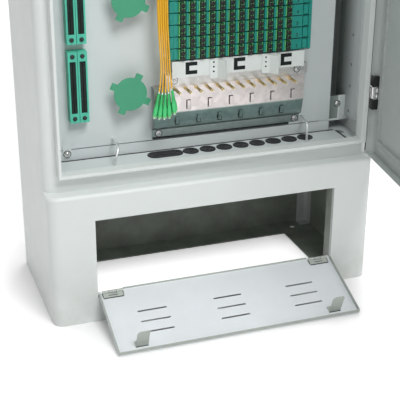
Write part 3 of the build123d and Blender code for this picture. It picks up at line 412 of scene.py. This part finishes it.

# The folded lips of the flap and the inside of the door skin get a darker tone: painted shade, as the lips
# face another way to the light
flap_normal = (0, math.cos(flap_open), math.sin(flap_open))
lip_start = flap_axis[0] * flap_normal[1] + flap_axis[1] * flap_normal[2] - 1.6
paint_flap_shaded_lips = powder_coat(
    "paint_flap_shaded_lips", tint(229, 234, 237), 0.40, 0.16, grime=0.10,
    rims=(flap_normal, lip_start, lip_start + 0.8, tint(176, 182, 176)),
)
door_normal = (-math.sin(door_turn), math.cos(door_turn), 0)
door_inside = door_pin[0] * door_normal[0] + door_pin[1] * door_normal[1] + door_skin_inside
paint_door_shaded_lips = powder_coat(
    "paint_door_shaded_lips", outer_colour, 0.42, 0.16,
    rims=(door_normal, door_inside, door_inside + 0.4, tint(184, 191, 188)),
)
# The liners darken towards the panel at their back: painted shade in the gap beside the panel.
paint_liner_painted_shade = powder_coat(
    "paint_liner_painted_shade", inner_colour, 0.46, 0.14, deep=(-72, -8, tint(118, 128, 123))
)
clip_paint = powder_coat("clip_paint", tint(184, 191, 184), 0.40, 0.16)
# The right panel bracket: painted shade that lightens towards its outer edge, and a painted highlight along
# that edge and its lower part.
paint_bracket_painted_light = powder_coat(
    "paint_bracket_painted_light", inner_colour, 0.46, 0.14,
    bracket=(
        tint(96, 108, 103), tint(150, 160, 156), (342.5, 346.0, 356.5), tint(226, 232, 230)
    ),
)
white = powder_coat("paint_white", tint(219, 225, 222), 0.36, 0.08)
galvanised = zinc("galvanised")
# The cable plate's height bands are painted reflection and painted shade: bright on the upper face, darker
# above it and on the lower part below the bend.
plate_zinc_painted_reflection = zinc(
    "plate_painted_reflection",
    (
        (481, (0.52, 0.57, 0.56, 1)),
        (421.5, (1.06, 0.99, 0.985, 1)),
        (396, (0.36, 0.50, 0.48, 1)),
        (384, (0.42, 0.55, 0.53, 1)),
        (None, (0.50, 0.60, 0.58, 1)),
    ),
)
steel = plain_metal("zinc_plated_steel", (0.72, 0.72, 0.71, 1), 0.24)
wire_steel = plain_metal("drawn_wire", (0.86, 0.86, 0.86, 1), 0.42, stretch=(0.1, 0.1, 1.0))
brass = plain_metal(
    "turned_brass", (0.66, 0.52, 0.26, 1), 0.27, stretch=(1.0, 0.1, 1.0), tarnish=0.45, dark=0.42
)
hinge_black = moulded("hinge_black", (0.010, 0.012, 0.012, 1), 0.42, deep=0.8)
cap_black = moulded("cap_black", (0.012, 0.013, 0.014, 1), 0.40, deep=0.8)
dark_print = moulded("dark_marking", (0.012, 0.035, 0.034, 1), 0.5)
brass_face = plain_metal("brass_face", (0.86, 0.76, 0.52, 1), 0.34, tarnish=0.15)
# Flat black for painted shade in gaps, slots, holes and along edges.
shadow_black = moulded("painted_shade_black", (0.010, 0.014, 0.014, 1), 0.7, specular=0.2)
rubber = soft_black("grommet_rubber", (0.012, 0.012, 0.014, 1), 0.50, 800.0, 0.15)
gasket = soft_black("gasket_foam", tint(172, 178, 175), 0.75, 1500.0, 0.6)
slit_foam = soft_black("parking_foam", (0.008, 0.016, 0.014, 1), 0.8, 1800.0, 0.6)
tray_teal = moulded("tray_teal", tint(27, 147, 134), 0.36, deep=0.88)
parking_green = moulded("parking_green", tint(80, 196, 168), 0.40, deep=0.9)
spool_green = moulded("spool_green", tint(66, 154, 118), 0.48, deep=0.93)
adapter_green = moulded("adapter_green", tint(120, 210, 130), 0.34, deep=0.85)
plug_green = moulded("plug_green", tint(62, 208, 120), 0.22, grain=0.05, deep=0.82, coat=0.3)
boot_green = moulded("boot_green", tint(70, 205, 122), 0.34, grain=0.08, deep=0.8)
cap_clear = moulded("cap_milky", tint(214, 232, 218), 0.3, grain=0.05)
jacket = moulded("jacket_yellow", tint(250, 192, 44), 0.34, grain=0.05, deep=0.86)
fanout_black = moulded("fanout_black", (0.02, 0.024, 0.024, 1), 0.5)

finishes = {
    "cabinet_paint": paint,
    "inner_paint": paint_inner,
    "white_paint": white,
    "galvanised_steel": galvanised,
    "bare_steel": steel,
    "hinge_black": hinge_black,
    "black_rubber": rubber,
    "gasket_foam": gasket,
    "parking_foam": slit_foam,
    "tray_plastic": tray_teal,
    "parking_plastic": parking_green,
    "brass": brass,
    "pigtail_jacket": jacket,
    "plug_plastic": plug_green,
    "fanout_plastic": fanout_black,
}
special = {
    "vent_flap": paint_flap_shaded_lips,
    "door_panel": paint_door_shaded_lips,
    "side_liner_left": paint_liner_painted_shade,
    "side_liner_right": paint_liner_painted_shade,
    "fibre_spools": spool_green,
    "panel_brackets": paint_bracket_painted_light,
    "flap_clips": clip_paint,
    "cable_plate": plate_zinc_painted_reflection,
    "flap_hinge_leaves": paint_flap_shaded_lips,
    "tray_rack": paint_inner,
}
slot_of = {row["node"]: row["material_slot"] for row in frame["record"]["subparts"]}
for name, obj in nodes.items():
    chosen = special.get(name, finishes[slot_of[name]])
    if not obj.material_slots:
        obj.data.materials.append(chosen)
    for place in obj.material_slots:
        place.material = chosen


# Mesh builders, in millimetres


class Solid:
    """A list of faces put together from rounded blocks, turned shapes and prisms."""

    def __init__(self):
        self.points = []
        self.faces = []
        self.skins = []

    def face(self, base, ring, skin):
        self.faces.append([base + k for k in ring])
        self.skins.append(skin)

    def block(self, low, high, bevel=0.0, skin=0):
        base = len(self.points)
        if bevel <= 0:
            for x in (low[0], high[0]):
                for y in (low[1], high[1]):
                    for z in (low[2], high[2]):
                        self.points.append(Vector((x, y, z)))
            sides = ((0, 1, 3, 2), (4, 6, 7, 5), (0, 4, 5, 1), (2, 3, 7, 6), (0, 2, 6, 4), (1, 5, 7, 3))
            for ring in sides:
                self.face(base, ring, skin)
            return self
        index = {}
        for i in (0, 1):
            for j in (0, 1):
                for k in (0, 1):
                    corner = [(low, high)[s][a] for a, s in enumerate((i, j, k))]
                    inner = [corner[a] + (bevel if s == 0 else -bevel) for a, s in enumerate((i, j, k))]
                    for axis in range(3):
                        point = list(inner)
                        point[axis] = corner[axis]
                        index[i, j, k, axis] = len(self.points) - base
                        self.points.append(Vector(point))
        for axis in range(3):
            a, b = [n for n in range(3) if n != axis]
            for side in (0, 1):
                ring = []
                for u, v in ((0, 0), (1, 0), (1, 1), (0, 1)):
                    key = [0, 0, 0]
                    key[axis], key[a], key[b] = side, u, v
                    ring.append(index[(*key, axis)])
                self.face(base, ring, skin)
            for u in (0, 1):
                for v in (0, 1):
                    key = [0, 0, 0]
                    key[a], key[b] = u, v
                    ends = []
                    for t in (0, 1):
                        key[axis] = t
                        ends.append((index[(*key, a)], index[(*key, b)]))
                    self.face(base, (ends[0][0], ends[1][0], ends[1][1], ends[0][1]), skin)
        for i in (0, 1):
            for j in (0, 1):
                for k in (0, 1):
                    self.face(base, [index[i, j, k, axis] for axis in range(3)], skin)
        return self

    def turned(self, profile, centre, axis=(0, 0, 1), steps=24, stretch=0.0, skin=0):
        """Turns (radius, height) pairs about an axis.

        With stretch, the circle becomes a slot along X.
        """
        base = len(self.points)
        w = Vector(axis).normalized()
        u = Vector((1, 0, 0)) if abs(w.x) < 0.9 else Vector((0, 1, 0))
        u = (u - w * u.dot(w)).normalized()
        v = w.cross(u)
        middle = Vector(centre)
        for radius, height in profile:
            for s in range(steps):
                angle = 2 * math.pi * (s + 0.5) / steps
                side = math.copysign(stretch, math.cos(angle)) if stretch else 0.0
                along = radius * math.cos(angle) + side
                self.points.append(middle + u * along + v * radius * math.sin(angle) + w * height)
        rows = len(profile)
        for r in range(rows - 1):
            for s in range(steps):
                t = (s + 1) % steps
                near, far = r * steps, (r + 1) * steps
                self.face(base, (near + s, near + t, far + t, far + s), skin)
        self.face(base, list(range(steps))[::-1], skin)
        self.face(base, [(rows - 1) * steps + s for s in range(steps)], skin)
        return self

    def prism(self, outline, start, depth, axis="y", skin=0):
        """Closed outline of (across, up) pairs, drawn along one axis from start by depth."""
        base = len(self.points)
        count = len(outline)
        for place in (start, start + depth):
            for a, b in outline:
                point = {"x": (place, a, b), "y": (a, place, b), "z": (a, b, place)}[axis]
                self.points.append(Vector(point))
        self.face(base, list(range(count)), skin)
        self.face(base, list(range(count, 2 * count))[::-1], skin)
        for s in range(count):
            t = (s + 1) % count
            self.face(base, (s, s + count, t + count, t), skin)
        return self

    def add(self, other, matrix=None):
        base = len(self.points)
        self.points += [matrix @ p if matrix else p.copy() for p in other.points]
        self.faces += [[base + k for k in ring] for ring in other.faces]
        self.skins += other.skins
        return self

    def moved(self, matrix):
        self.points = [matrix @ p for p in self.points]
        return self


def piece(name, solid, body, materials, angle=40.0):
    """Makes a visible piece of a Solid and rides it on a body. angle parts sharp edges from smooth."""
    mesh = bpy.data.meshes.new(name)
    mesh.from_pydata([p * MM for p in solid.points], [], solid.faces)
    for material in materials:
        mesh.materials.append(material)
    mesh.polygons.foreach_set("material_index", solid.skins)
    clean = bmesh.new()
    clean.from_mesh(mesh)
    bmesh.ops.recalc_face_normals(clean, faces=clean.faces)
    clean.to_mesh(mesh)
    clean.free()
    mesh.polygons.foreach_set("use_smooth", [True] * len(mesh.polygons))
    mesh.set_sharp_from_angle(angle=radians(angle))
    mesh.update()
    obj = bpy.data.objects.new(name, mesh)
    scene.collection.objects.link(obj)
    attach(obj, body)
    return obj


def round_curve(name, route, radius, resolution, material, replaced):
    """A round cord or rod on the cabinet, with the route's points as control points of one spline."""
    data = bpy.data.curves.new(name, "CURVE")
    data.dimensions = "3D"
    data.resolution_u = resolution
    data.bevel_depth = radius * MM
    data.bevel_resolution = 4
    data.use_fill_caps = True
    spline = data.splines.new("NURBS")
    spline.points.add(len(route) - 1)
    for point, place in zip(spline.points, route):
        point.co = (*[c * MM for c in place], 1.0)
    spline.order_u = 3
    spline.use_endpoint_u = True
    data.materials.append(material)
    obj = bpy.data.objects.new(name, data)
    scene.collection.objects.link(obj)
    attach(obj, "cabinet")
    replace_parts(obj, replaced)
    return obj


# Pigtails: each hangs as in the CAD, with its lower end let down by its drop

cord_ends = []
end_drops = (6.5, 8, 9, 9.5, 9.5, 9.5, 8.5, 4.5, 1.5, 0)
for number in range(pigtail_count):
    top_x = pigtail_top[0] + pigtail_top_pitch * (number // 2)
    top_z = pigtail_top[1]
    low_x = pigtail_low[0] + pigtail_low_pitch * number
    y = pigtail_front + pigtail_row_pitch * (number % 2)
    fan = radians(pigtail_fan_start + pigtail_fan_step * number)
    turn_x = low_x - pigtail_straight * math.sin(fan)
    turn_z = pigtail_low[1] + pigtail_straight * math.cos(fan)
    drop = top_z - turn_z
    low_z = pigtail_low[1] - end_drops[number]
    route = [
        (top_x, y, top_z),
        (top_x, y, top_z - 0.24 * drop),
        (top_x + 0.3 * (turn_x - top_x), y + pigtail_sway, top_z - 0.5 * drop),
        (top_x + 0.7 * (turn_x - top_x), y, top_z - 0.76 * drop),
        (turn_x, y, turn_z),
        (low_x, y, low_z),
    ]
    cord = round_curve(
        f"pigtail_cord_{number + 1}", route, pigtail_radius, 12,
        jacket, f"pigtail_{number + 1}",
    )
    cord_ends.append((cord, Vector((low_x, y, low_z)), fan))


# Plugs on the pigtails: crimp sleeve, ribbed boot, body with a push-pull shell and a dust cap

plug = Solid()
plug.turned([(1.75, -1.5), (2.05, -1.2), (2.05, 2.2), (1.8, 2.6)], (0, 0, 0), steps=14, skin=2)
boot_profile = [(1.9, 2.2)]
for k in range(9):
    radius = 1.95 + 0.11 * k
    rib_foot = 2.8 + 2.6 * k
    boot_profile += [
        (radius + 0.12, rib_foot),
        (radius + 0.12, rib_foot + 1.5),
        (radius - 0.22, rib_foot + 1.8),
        (radius - 0.22, rib_foot + 2.4),
    ]
boot_profile += [(3.0, 26.2), (3.1, 29.6), (2.8, 30.0)]
plug.turned(boot_profile, (0, 0, 0), steps=14, skin=1)
plug.block((-3.3, -2.9, 28.8), (3.3, 2.9, 33.6), 0.9, 0)
plug.block((-4.0, -3.5, 33.0), (4.0, 3.5, 51.5), 1.2, 0)
for near, far in ((-4.35, -3.6), (3.6, 4.35)):
    plug.block((near, -2.3, 36.0), (far, 2.3, 47.5), 0.35, 0)
plug.block((-1.1, -4.0, 37.0), (1.1, -3.2, 50.0), 0.35, 0)
plug.block((-3.4, -2.9, 51.0), (3.4, 2.9, 55.0), 0.6, 3)
plug.turned([(2.5, 54.5), (2.5, 57.6), (2.0, 58.6), (1.4, 58.8)], (0, 0, 0), steps=14, skin=4)

plug_materials = [plug_green, boot_green, steel, adapter_green, cap_clear]
for number, (cord, end, fan) in enumerate(cord_ends):
    down = Vector((math.sin(fan), 0, -math.cos(fan)))
    across = Vector((math.cos(fan), 0, math.sin(fan)))
    lean = Matrix((across, down.cross(across), down)).transposed().to_4x4()
    copy = Solid().add(plug, Matrix.Translation(end) @ lean)
    obj = piece(f"pigtail_plug_{number + 1}", copy, "cabinet", plug_materials, 35)
    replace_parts(obj, "pigtail_connectors")
    top_x = pigtail_top[0] + pigtail_top_pitch * (number // 2)
    y = pigtail_front + pigtail_row_pitch * (number % 2)


# Tray fronts: adapters with their dust caps, the ribs between them and the tray number

adapter = Solid()
adapter.block((-7.0, -79.0, -10.6), (7.0, -73.0, 10.6), 0.5, 1)
adapter.block((5.2, -80.2, -10.6), (7.0, -78.5, 10.6), 0.4, 1)
adapter.block((-7.0, -80.2, -10.6), (-5.2, -78.5, 10.6), 0.4, 1)
for row in (-1, 1):
    top = 5.35 + row * 5.35
    for column in (-1, 1):
        middle = column * 2.45
        adapter.block((middle - 2.35, -86.5, top - 10.3), (middle + 2.35, -78.0, top - 0.9), 0.5, 2)
        adapter.block((middle - 1.2, -87.2, top - 7.6), (middle + 1.2, -86.0, top - 3.4), 0.35, 2)
        # A light green tab on each cap's top edge: painted highlight for the light on the caps' tops.
        adapter.block((middle - 1.3, -86.9, top - 2.0), (middle + 1.3, -84.0, top - 1.2), 0.25, 1)
rib = Solid().block((-2.7, -79.0, -11.4), (2.7, -72.0, 11.4), 0.5, 0)

front = Solid()
for k in range(adapter_count):
    x = adapter_first_x + adapter_pitch * k
    front.add(adapter, Matrix.Translation((x, 0, adapter_rise)))
    if k < adapter_count - 1:
        front.add(rib, Matrix.Translation((x + 12.4, 0, adapter_rise)))
front.block((-80.6, -75.6, 1.4), (-76.4, -73.0, 23.8), 0.4, 0)
front.block((-73.0, -75.0, 2.0), (-64.5, -73.4, 23.2), 0.5, 0)
front.block((225.6, -72.6, 2.2), (237.0, -70.6, 23.0), 0.5, 0)

front_materials = [tray_teal, adapter_green, cap_black, shadow_black]
for number in range(tray_count):
    foot = tray_foot + tray_pitch * number
    body = f"tray_body_{number + 1}"
    face = Solid().add(front, Matrix.Translation((0, 0, foot)))
    # Black strips along the gaps between the tray fronts: painted shade.
    face.block((-66, -74.7, foot - 0.8), (219, -73.0, foot + 0.8), 0.0, 3)
    face.block((219, -74.3, foot - 0.35), (243, -73.0, foot + 0.35), 0.0, 3)
    piece(f"tray_front_{number + 1}", face, body, front_materials, 35)
    text = bpy.data.curves.new(f"tray_number_{number + 1}", "FONT")
    text.body = str(number + 1)
    text.size = 10.5 * MM
    text.offset = 0.28 * MM
    text.extrude = 0.12 * MM
    text.align_x = "CENTER"
    text.align_y = "CENTER"
    text.resolution_u = 4
    text.materials.append(dark_print)
    mark = bpy.data.objects.new(f"tray_number_{number + 1}", text)
    scene.collection.objects.link(mark)
    spot = Matrix.Translation((211.5 * MM, -74.15 * MM, (foot + 7.8) * MM))
    mark.matrix_world = spot @ Matrix.Rotation(radians(90), 4, "X")
    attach(mark, body)


# Brass posts on the head of the cable plate

post_profile = [(3.0, 0.0), (4.1, 0.1), (4.1, 1.6), (3.2, 1.9), (3.2, 33.0), (2.9, 33.4), (2.9, 34.2)]
post_profile += [(3.2, 34.6), (3.2, 35.6), (2.8, 36.0), (2.3, 36.0), (2.3, 40.4), (1.9, 40.9)]
post_profile += [(1.0, 40.9), (1.0, 38.0)]
post = Solid().turned(post_profile, (0, 0, 0), axis=(0, -1, 0), steps=20)
post.turned([(2.7, 35.9), (2.75, 36.2), (2.3, 36.25)], (0, 0, 0), axis=(0, -1, 0), steps=20, skin=1)
post.turned([(1.1, 40.8), (2.0, 40.95), (1.2, 41.0)], (0, 0, 0), axis=(0, -1, 0), steps=20, skin=1)
posts = Solid()
for k in range(post_count):
    posts.add(post, Matrix.Translation((post_first_x + post_pitch * k, plate_face, post_height)))
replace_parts(piece("brass_post_row", posts, "cabinet", [brass, brass_face]), "brass_posts")


# Screws with a dark ring round the washers as painted shade, a flat and a split washer and a cross recess
# drawn as a black cross, also painted shade

screw = Solid()
screw.turned([(2.6, 0.0), (8.4, 0.0), (8.4, 0.4), (2.6, 0.4)], (0, 0, 0), steps=28, skin=1)
flat_washer = [(2.6, 0.3), (6.7, 0.3), (6.9, 0.5), (6.9, 1.05), (6.7, 1.25), (2.6, 1.25)]
screw.turned(flat_washer, (0, 0, 0), steps=28)
split_washer = [(2.6, 1.1), (5.0, 1.1), (5.1, 1.3), (5.1, 2.1), (4.9, 2.3), (2.6, 2.3)]
screw.turned(split_washer, (0, 0, 0), steps=24)
head = [(2.0, 2.2), (4.1, 2.2), (4.2, 2.5), (4.15, 3.4), (3.7, 4.0), (2.9, 4.2), (1.9, 4.2)]
screw.turned(head, (0, 0, 0), steps=24)
screw.block((-1.9, -0.42, 3.6), (1.9, 0.42, 4.26), 0.0, 1)
screw.block((-0.42, -1.9, 3.6), (0.42, 1.9, 4.26), 0.0, 1)

facing_front = Matrix.Rotation(radians(90), 4, "X")
screws = Solid()
for x, z, y, spin in (
    (-97, 370, -39.5, 20),
    (230, 370, -39.5, 55),
    (223, 492.5, -58, 10),
    (-66, 492.5, -58, 35),
    (-303, 346, -40, 30),
    (-340, 392, -36, 15),
    (340, 392, -36, 70),
):
    turned = facing_front @ Matrix.Rotation(radians(spin), 4, "Z")
    screws.add(screw, Matrix.Translation((x, y, z)) @ turned)
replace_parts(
    piece("panel_screws", screws, "cabinet", [steel, cap_black]), "machine_screws"
)


# Cable entry grommets: rim, sunk membrane with rings and a nub

rim = [(16.4, 0.0), (18.0, 0.2), (18.1, 1.2), (17.2, 2.2), (15.8, 2.5), (14.2, 2.3), (13.1, 1.5)]
rim += [(12.6, 0.8), (11.0, 0.75), (10.6, 1.15), (10.0, 1.15), (9.6, 0.75), (7.4, 0.7), (7.0, 1.05)]
rim += [(6.4, 1.05), (6.0, 0.65), (3.0, 0.6), (2.4, 1.3), (1.2, 1.5)]
grommets = Solid()
for k in range(entry_count):
    grommets.turned(rim, (entry_first_x + entry_pitch * k, entry_y, gland_top), steps=36)
grommets.turned(rim, (slot_entry_x, entry_y, gland_top), steps=44, stretch=slot_entry_stretch)
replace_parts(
    piece("entry_grommets", grommets, "cabinet", [rubber], 60), "cable_grommets"
)


# Blind rivets in the side liners: dark rim as painted shade, light dome

rivet_rim = [(1.4, 0.0), (3.1, 0.1), (3.1, 0.5), (2.2, 0.8), (1.5, 0.8)]
rivet = Solid().turned(rivet_rim, (0, 0, 0), steps=16, skin=1)
rivet.turned([(1.5, 0.3), (1.4, 1.1), (0.8, 1.3)], (0, 0, 0), steps=12, skin=0)
rivets = Solid()
for side in (-1, 1):
    spin = Matrix.Rotation(radians(-90 * side), 4, "Y")
    for z in (378, 438, 489, 558, 700, 840, 980, 1120, 1260, 1400, 1540, 1650):
        for y in (-10, -55):
            rivets.add(rivet, Matrix.Translation((side * liner_face, y, z)) @ spin)
piece("liner_rivets", rivets, "cabinet", [paint_inner, cap_black])


# Parking strips: push rivets and the slit in each foam

pin = [(3.6, 0.0), (4.7, 0.1), (4.7, 1.2), (4.0, 2.2), (2.6, 2.8), (1.2, 3.0)]
slit = [(6.4, -57.9), (0.7, -57.9), (0.25, -50.0), (-0.25, -50.0), (-0.7, -57.9), (-6.4, -57.9)]
pins = Solid()
foams = Solid()
for foot in parking_feet:
    for x in parking_strips_x:
        for z in (foot + 9.5, foot + 143.5):
            pins.turned(pin, (x, -60, z), axis=(0, -1, 0), steps=20)
        low, high = foot + 20.5, foot + 132.5
        outline = [(x - 6.4, -44.2), (x + 6.4, -44.2)] + [(x + a, y) for a, y in slit]
        foams.prism(outline, low + 0.1, high - low - 0.2, axis="z")
piece("parking_pins", pins, "cabinet", [cap_black])
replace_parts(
    piece("slit_foams", foams, "cabinet", [slit_foam]), "parking_foams"
)


# Door hinges: bright plate and two low round screws between the blocks.
# The screws stay low, since the closed door brings them close to the frame's lip.

on_door = Matrix.Translation((*door_pin, 0)) @ Matrix.Rotation(door_turn, 4, "Z")
hinge_screw = [(2.2, 0.0), (3.7, 0.1), (3.7, 0.5), (3.0, 0.9), (1.6, 1.1), (0.8, 1.1), (0.8, 0.7)]
facing_left = Matrix.Rotation(radians(-90), 4, "Y")
plates = Solid()
for z in hinge_heights:
    plates.block((-10.8, -13.4, z - 13.6), (-9.6, 3.0, z + 13.6), 0.3, 0)
    for rise in (-6.2, 6.2):
        head = Solid().turned(hinge_screw, (0, 0, 0), steps=20)
        plates.add(head, Matrix.Translation((-10.7, -7.6, z + rise)) @ facing_left)
plates.moved(on_door)
piece("hinge_plates", plates, "door", [steel])


# Painted shade: black fill in the bracket's slots, dark discs in the holes of the guides and dark strips in
# the gaps round the lanced loops of the plate

painted_shades = Solid()
c_shape = [(-13.2, -13.4), (13.2, -13.4), (13.2, -5.2), (-4.6, -5.2)]
c_shape += [(-4.6, 5.2), (13.2, 5.2), (13.2, 13.4), (-13.2, 13.4)]
for k in range(3):
    x = bracket_slot_first_x + bracket_slot_pitch * k
    outline = [(x + a, bracket_slot_height + b) for a, b in c_shape]
    painted_shades.prism(outline, bracket_front - 0.12, 2.0)
for k in range(2):
    for rise in (-guide_hole_rise, 0, guide_hole_rise):
        hole = (guide_hole_first_x + guide_pitch * k, bracket_front - 0.4, guide_hole_height + rise)
        painted_shades.turned([(2.1, 0.0), (2.1, 1.7)], hole, axis=(0, -1, 0), steps=16)

# The painted shade strip is wider on the left of each loop
loop_shade = Solid()
loop_shade.block((-5.0, -0.25, -10.4), (-3.7, 0.2, 10.4))
loop_shade.block((4.22, -0.25, -10.4), (5.0, 0.2, 10.4))
loop_shade.block((-5.0, -0.25, -10.4), (5.0, 0.2, -9.1))
loop_shade.block((-5.0, -0.25, 9.1), (5.0, 0.2, 10.4))
lower_slope = math.atan2(plate_lean, plate_lean_height)
lower_face = plate_face + 18 * math.tan(lower_slope)
lean = Matrix.Rotation(-lower_slope, 4, "X")
for k in range(loop_count):
    x = upper_loop[0] + loop_pitch * k
    painted_shades.add(loop_shade, Matrix.Translation((x, plate_face, upper_loop[1])))
    x = lower_loop[0] + loop_pitch * k
    painted_shades.add(loop_shade, Matrix.Translation((x, lower_face, lower_loop[1])) @ lean)
piece("painted_shade_marks", painted_shades, "cabinet", [shadow_black])


# Black strips as painted shade, drawn in the black rubber: round the gland plate, under the cable plate and
# along the hinge side of the frame

shade_strips = Solid()
shade_strips.block((-331, -45.2, floor_top), (331, -38.2, 330.6), 0.3)
for near, far, head, bevel in (
    (-333.6, -331.2, 331.4, 0.3),
    (-337.8, -336.6, 330.2, 0.2),
    (331.2, 333.6, 331.4, 0.3),
    (336.6, 337.8, 330.2, 0.2),
):
    shade_strips.block((near, -128, floor_top), (far, -46, head), bevel)
shade_strips.block((-111, -40.6, 357.4), (216, -38.0, 361.8), 0.4)
strip = Solid().block((23.6, -1.6, 301), (28.4, 1.6, 1709), 0.4)
corner = Matrix.Translation((351, -111, 0)) @ Matrix.Rotation(radians(-20), 4, "Z")
shade_strips.add(strip, corner)
piece("painted_shade_strips", shade_strips, "cabinet", [rubber])


# Bent wire rods: foot in the gland plate, head in the panel

left_rod = [(-214, -100, 331), (-214, -100, 341), (-208, -100, 356), (-203, -92, 367)]
left_rod += [(-201, -78, 370.5), (-201, -58, 370.5), (-201, -38, 370.5)]
right_rod = [(235, -100, 331), (235, -100, 352), (235, -100, 370), (236.5, -92, 374)]
right_rod += [(241, -74, 374), (246, -54, 374), (247, -46, 374), (247, -38, 374)]
for name, route in (("left", left_rod), ("right", right_rod)):
    round_curve(f"wire_rod_{name}", route, 2.5, 8, wire_steel, "wire_rods")


# Inside of the flap: tall rounded clips with welded feet, dark edges of the hinge leaves and of the
# clips' feet as painted shade, and the folded edge between them. Local places are across, along
# from the hinge and out of the sheet.

on_flap = Matrix(
    (
        (1, 0, 0, 0),
        (0, -math.sin(flap_open), math.cos(flap_open), flap_axis[0]),
        (0, math.cos(flap_open), math.sin(flap_open), flap_axis[1]),
        (0, 0, 0, 1),
    )
)
clip_outline = [(-13.5, -2.5)]
for k in range(6):
    angle = radians(90 - 18 * k)
    clip_outline.append((-13.5 + 9 * (1 - math.sin(angle)), 36 + 9 * math.cos(angle)))
for k in range(5):
    angle = radians(90 - 22.5 * k)
    clip_outline.append((13.5 - 4 * (1 - math.cos(angle)), 41 + 4 * math.sin(angle)))
clip_outline.append((13.5, -2.5))
clips = Solid()
edge_shades = Solid()
for side in (-1, 1):
    x = side * flap_clip_x
    clips.prism([(x + a, b) for a, b in clip_outline], 155.7, 1.6)
    clips.block((x - 13.8, 142, -2.6), (x + 13.8, 157, -1.2), 0.3)
    edge_shades.block((x - 13.8, 157.2, -2.5), (x + 13.8, 158.4, -1.6))
    leaf = side * flap_leaf_x
    edge_shades.block((leaf - 22, 15.6, -2.4), (leaf + 22, 16.9, -0.8))
    edge_shades.block((leaf - 10, 9.0, -1.6), (leaf + 10, 10.6, -0.85))
    for end in (-23.4, 22.2):
        edge_shades.block((leaf + end, 3.0, -2.4), (leaf + end + 1.2, 14, -0.8))
clips.block((-220, -5.9, -2.6), (220, -3.6, 1.6), 0.3)
clips.moved(on_flap)
edge_shades.moved(on_flap)
piece("flap_clip_blades", clips, "flap", [clip_paint], 30)
piece("flap_painted_edge_shades", edge_shades, "flap", [shadow_black])


# Floor and backdrop: white to the camera, with the shadow kept (metres)

floor_mesh = bpy.data.meshes.new("studio_floor")
floor_mesh.from_pydata([(-9, -9, 0), (9, -9, 0), (9, 9, 0), (-9, 9, 0)], [], [(0, 1, 2, 3)])
floor = bpy.data.objects.new("studio_floor", floor_mesh)
scene.collection.objects.link(floor)
ground = bpy.data.materials.new("studio_floor")
ground.use_nodes = True
tree = ground.node_tree
tree.nodes.clear()


def combined(tree, operation, one, two):
    node = tree.nodes.new("ShaderNodeMath")
    node.operation = operation
    tree.links.new(one, node.inputs[0])
    tree.links.new(two, node.inputs[1])
    return node.outputs["Value"]


def ranged(tree, value, start, end):
    node = tree.nodes.new("ShaderNodeMapRange")
    node.inputs["To Min"].default_value = start
    node.inputs["To Max"].default_value = end
    tree.links.new(value, node.inputs["Value"])
    return node.outputs["Result"]


out = tree.nodes.new("ShaderNodeOutputMaterial")
plain = tree.nodes.new("ShaderNodeBsdfDiffuse")
plain.inputs["Color"].default_value = (0.84, 0.84, 0.84, 1)
rays = tree.nodes.new("ShaderNodeLightPath")
seen = combined(tree, "ADD", rays.outputs["Is Camera Ray"], rays.outputs["Is Glossy Ray"])

# The floor's white glow is weaker close under the flap and the flange, a painted shadow, and full on
# the ground inside the open plinth, a painted light (footprint in metres)
close = tree.nodes.new("ShaderNodeAmbientOcclusion")
close.inputs["Distance"].default_value = 0.14
coordinates = tree.nodes.new("ShaderNodeTexCoord")
split = tree.nodes.new("ShaderNodeSeparateXYZ")
tree.links.new(coordinates.outputs["Object"], split.inputs["Vector"])
footprint = None
fade = 0.02
for axis, start, end in (
    ("X", -0.36 - fade, -0.36 + fade),
    ("X", 0.36 + fade, 0.36 - fade),
    ("Y", -0.15 - fade, -0.15 + fade),
    ("Y", 0.15 + fade, 0.15 - fade),
):
    ramp = tree.nodes.new("ShaderNodeMapRange")
    ramp.inputs["From Min"].default_value = start
    ramp.inputs["From Max"].default_value = end
    tree.links.new(split.outputs[axis], ramp.inputs["Value"])
    inside = ramp.outputs["Result"]
    footprint = inside if footprint is None else combined(tree, "MULTIPLY", footprint, inside)
tree.links.new(ranged(tree, footprint, 0.42, 0.85), close.inputs["Color"])
glow = tree.nodes.new("ShaderNodeEmission")
tree.links.new(close.outputs["Color"], glow.inputs["Color"])
tree.links.new(combined(tree, "MULTIPLY", seen, close.outputs["AO"]), glow.inputs["Strength"])
both = tree.nodes.new("ShaderNodeAddShader")
tree.links.new(plain.outputs["BSDF"], both.inputs[0])
tree.links.new(glow.outputs["Emission"], both.inputs[1])
tree.links.new(both.outputs["Shader"], out.inputs["Surface"])
floor_mesh.materials.append(ground)

# Soft ambient light, full white where the camera or a reflection sees the backdrop
world = bpy.data.worlds.new("studio")
scene.world = world
world.use_nodes = True
tree = world.node_tree
back = tree.nodes["Background"]
back.inputs["Color"].default_value = (1, 1, 1, 1)
rays = tree.nodes.new("ShaderNodeLightPath")
shown = combined(tree, "MAXIMUM", rays.outputs["Is Camera Ray"], rays.outputs["Is Glossy Ray"])
shown = combined(tree, "MAXIMUM", shown, rays.outputs["Is Transmission Ray"])
tree.links.new(ranged(tree, shown, 0.50, 1.0), back.inputs["Strength"])


# Soft studio lamps


def lamp(name, place, target, size, energy):
    """A square lamp, with place, target and size in metres."""
    data = bpy.data.lights.new(name, "AREA")
    data.shape = "SQUARE"
    data.size = size
    data.energy = energy
    obj = bpy.data.objects.new(name, data)
    scene.collection.objects.link(obj)
    obj.location = place
    obj.rotation_euler = (Vector(target) - Vector(place)).to_track_quat("-Z", "Y").to_euler()


lamp("key", (0.25, -2.8, 3.8), (0, 0, 0.6), 1.6, 122)
lamp("fill", (-2.8, -1.6, 2.8), (0, 0, 1.3), 1.6, 6)
lamp("rear", (1.8, 2.8, 2.6), (0, 0, 0.9), 2.0, 45)
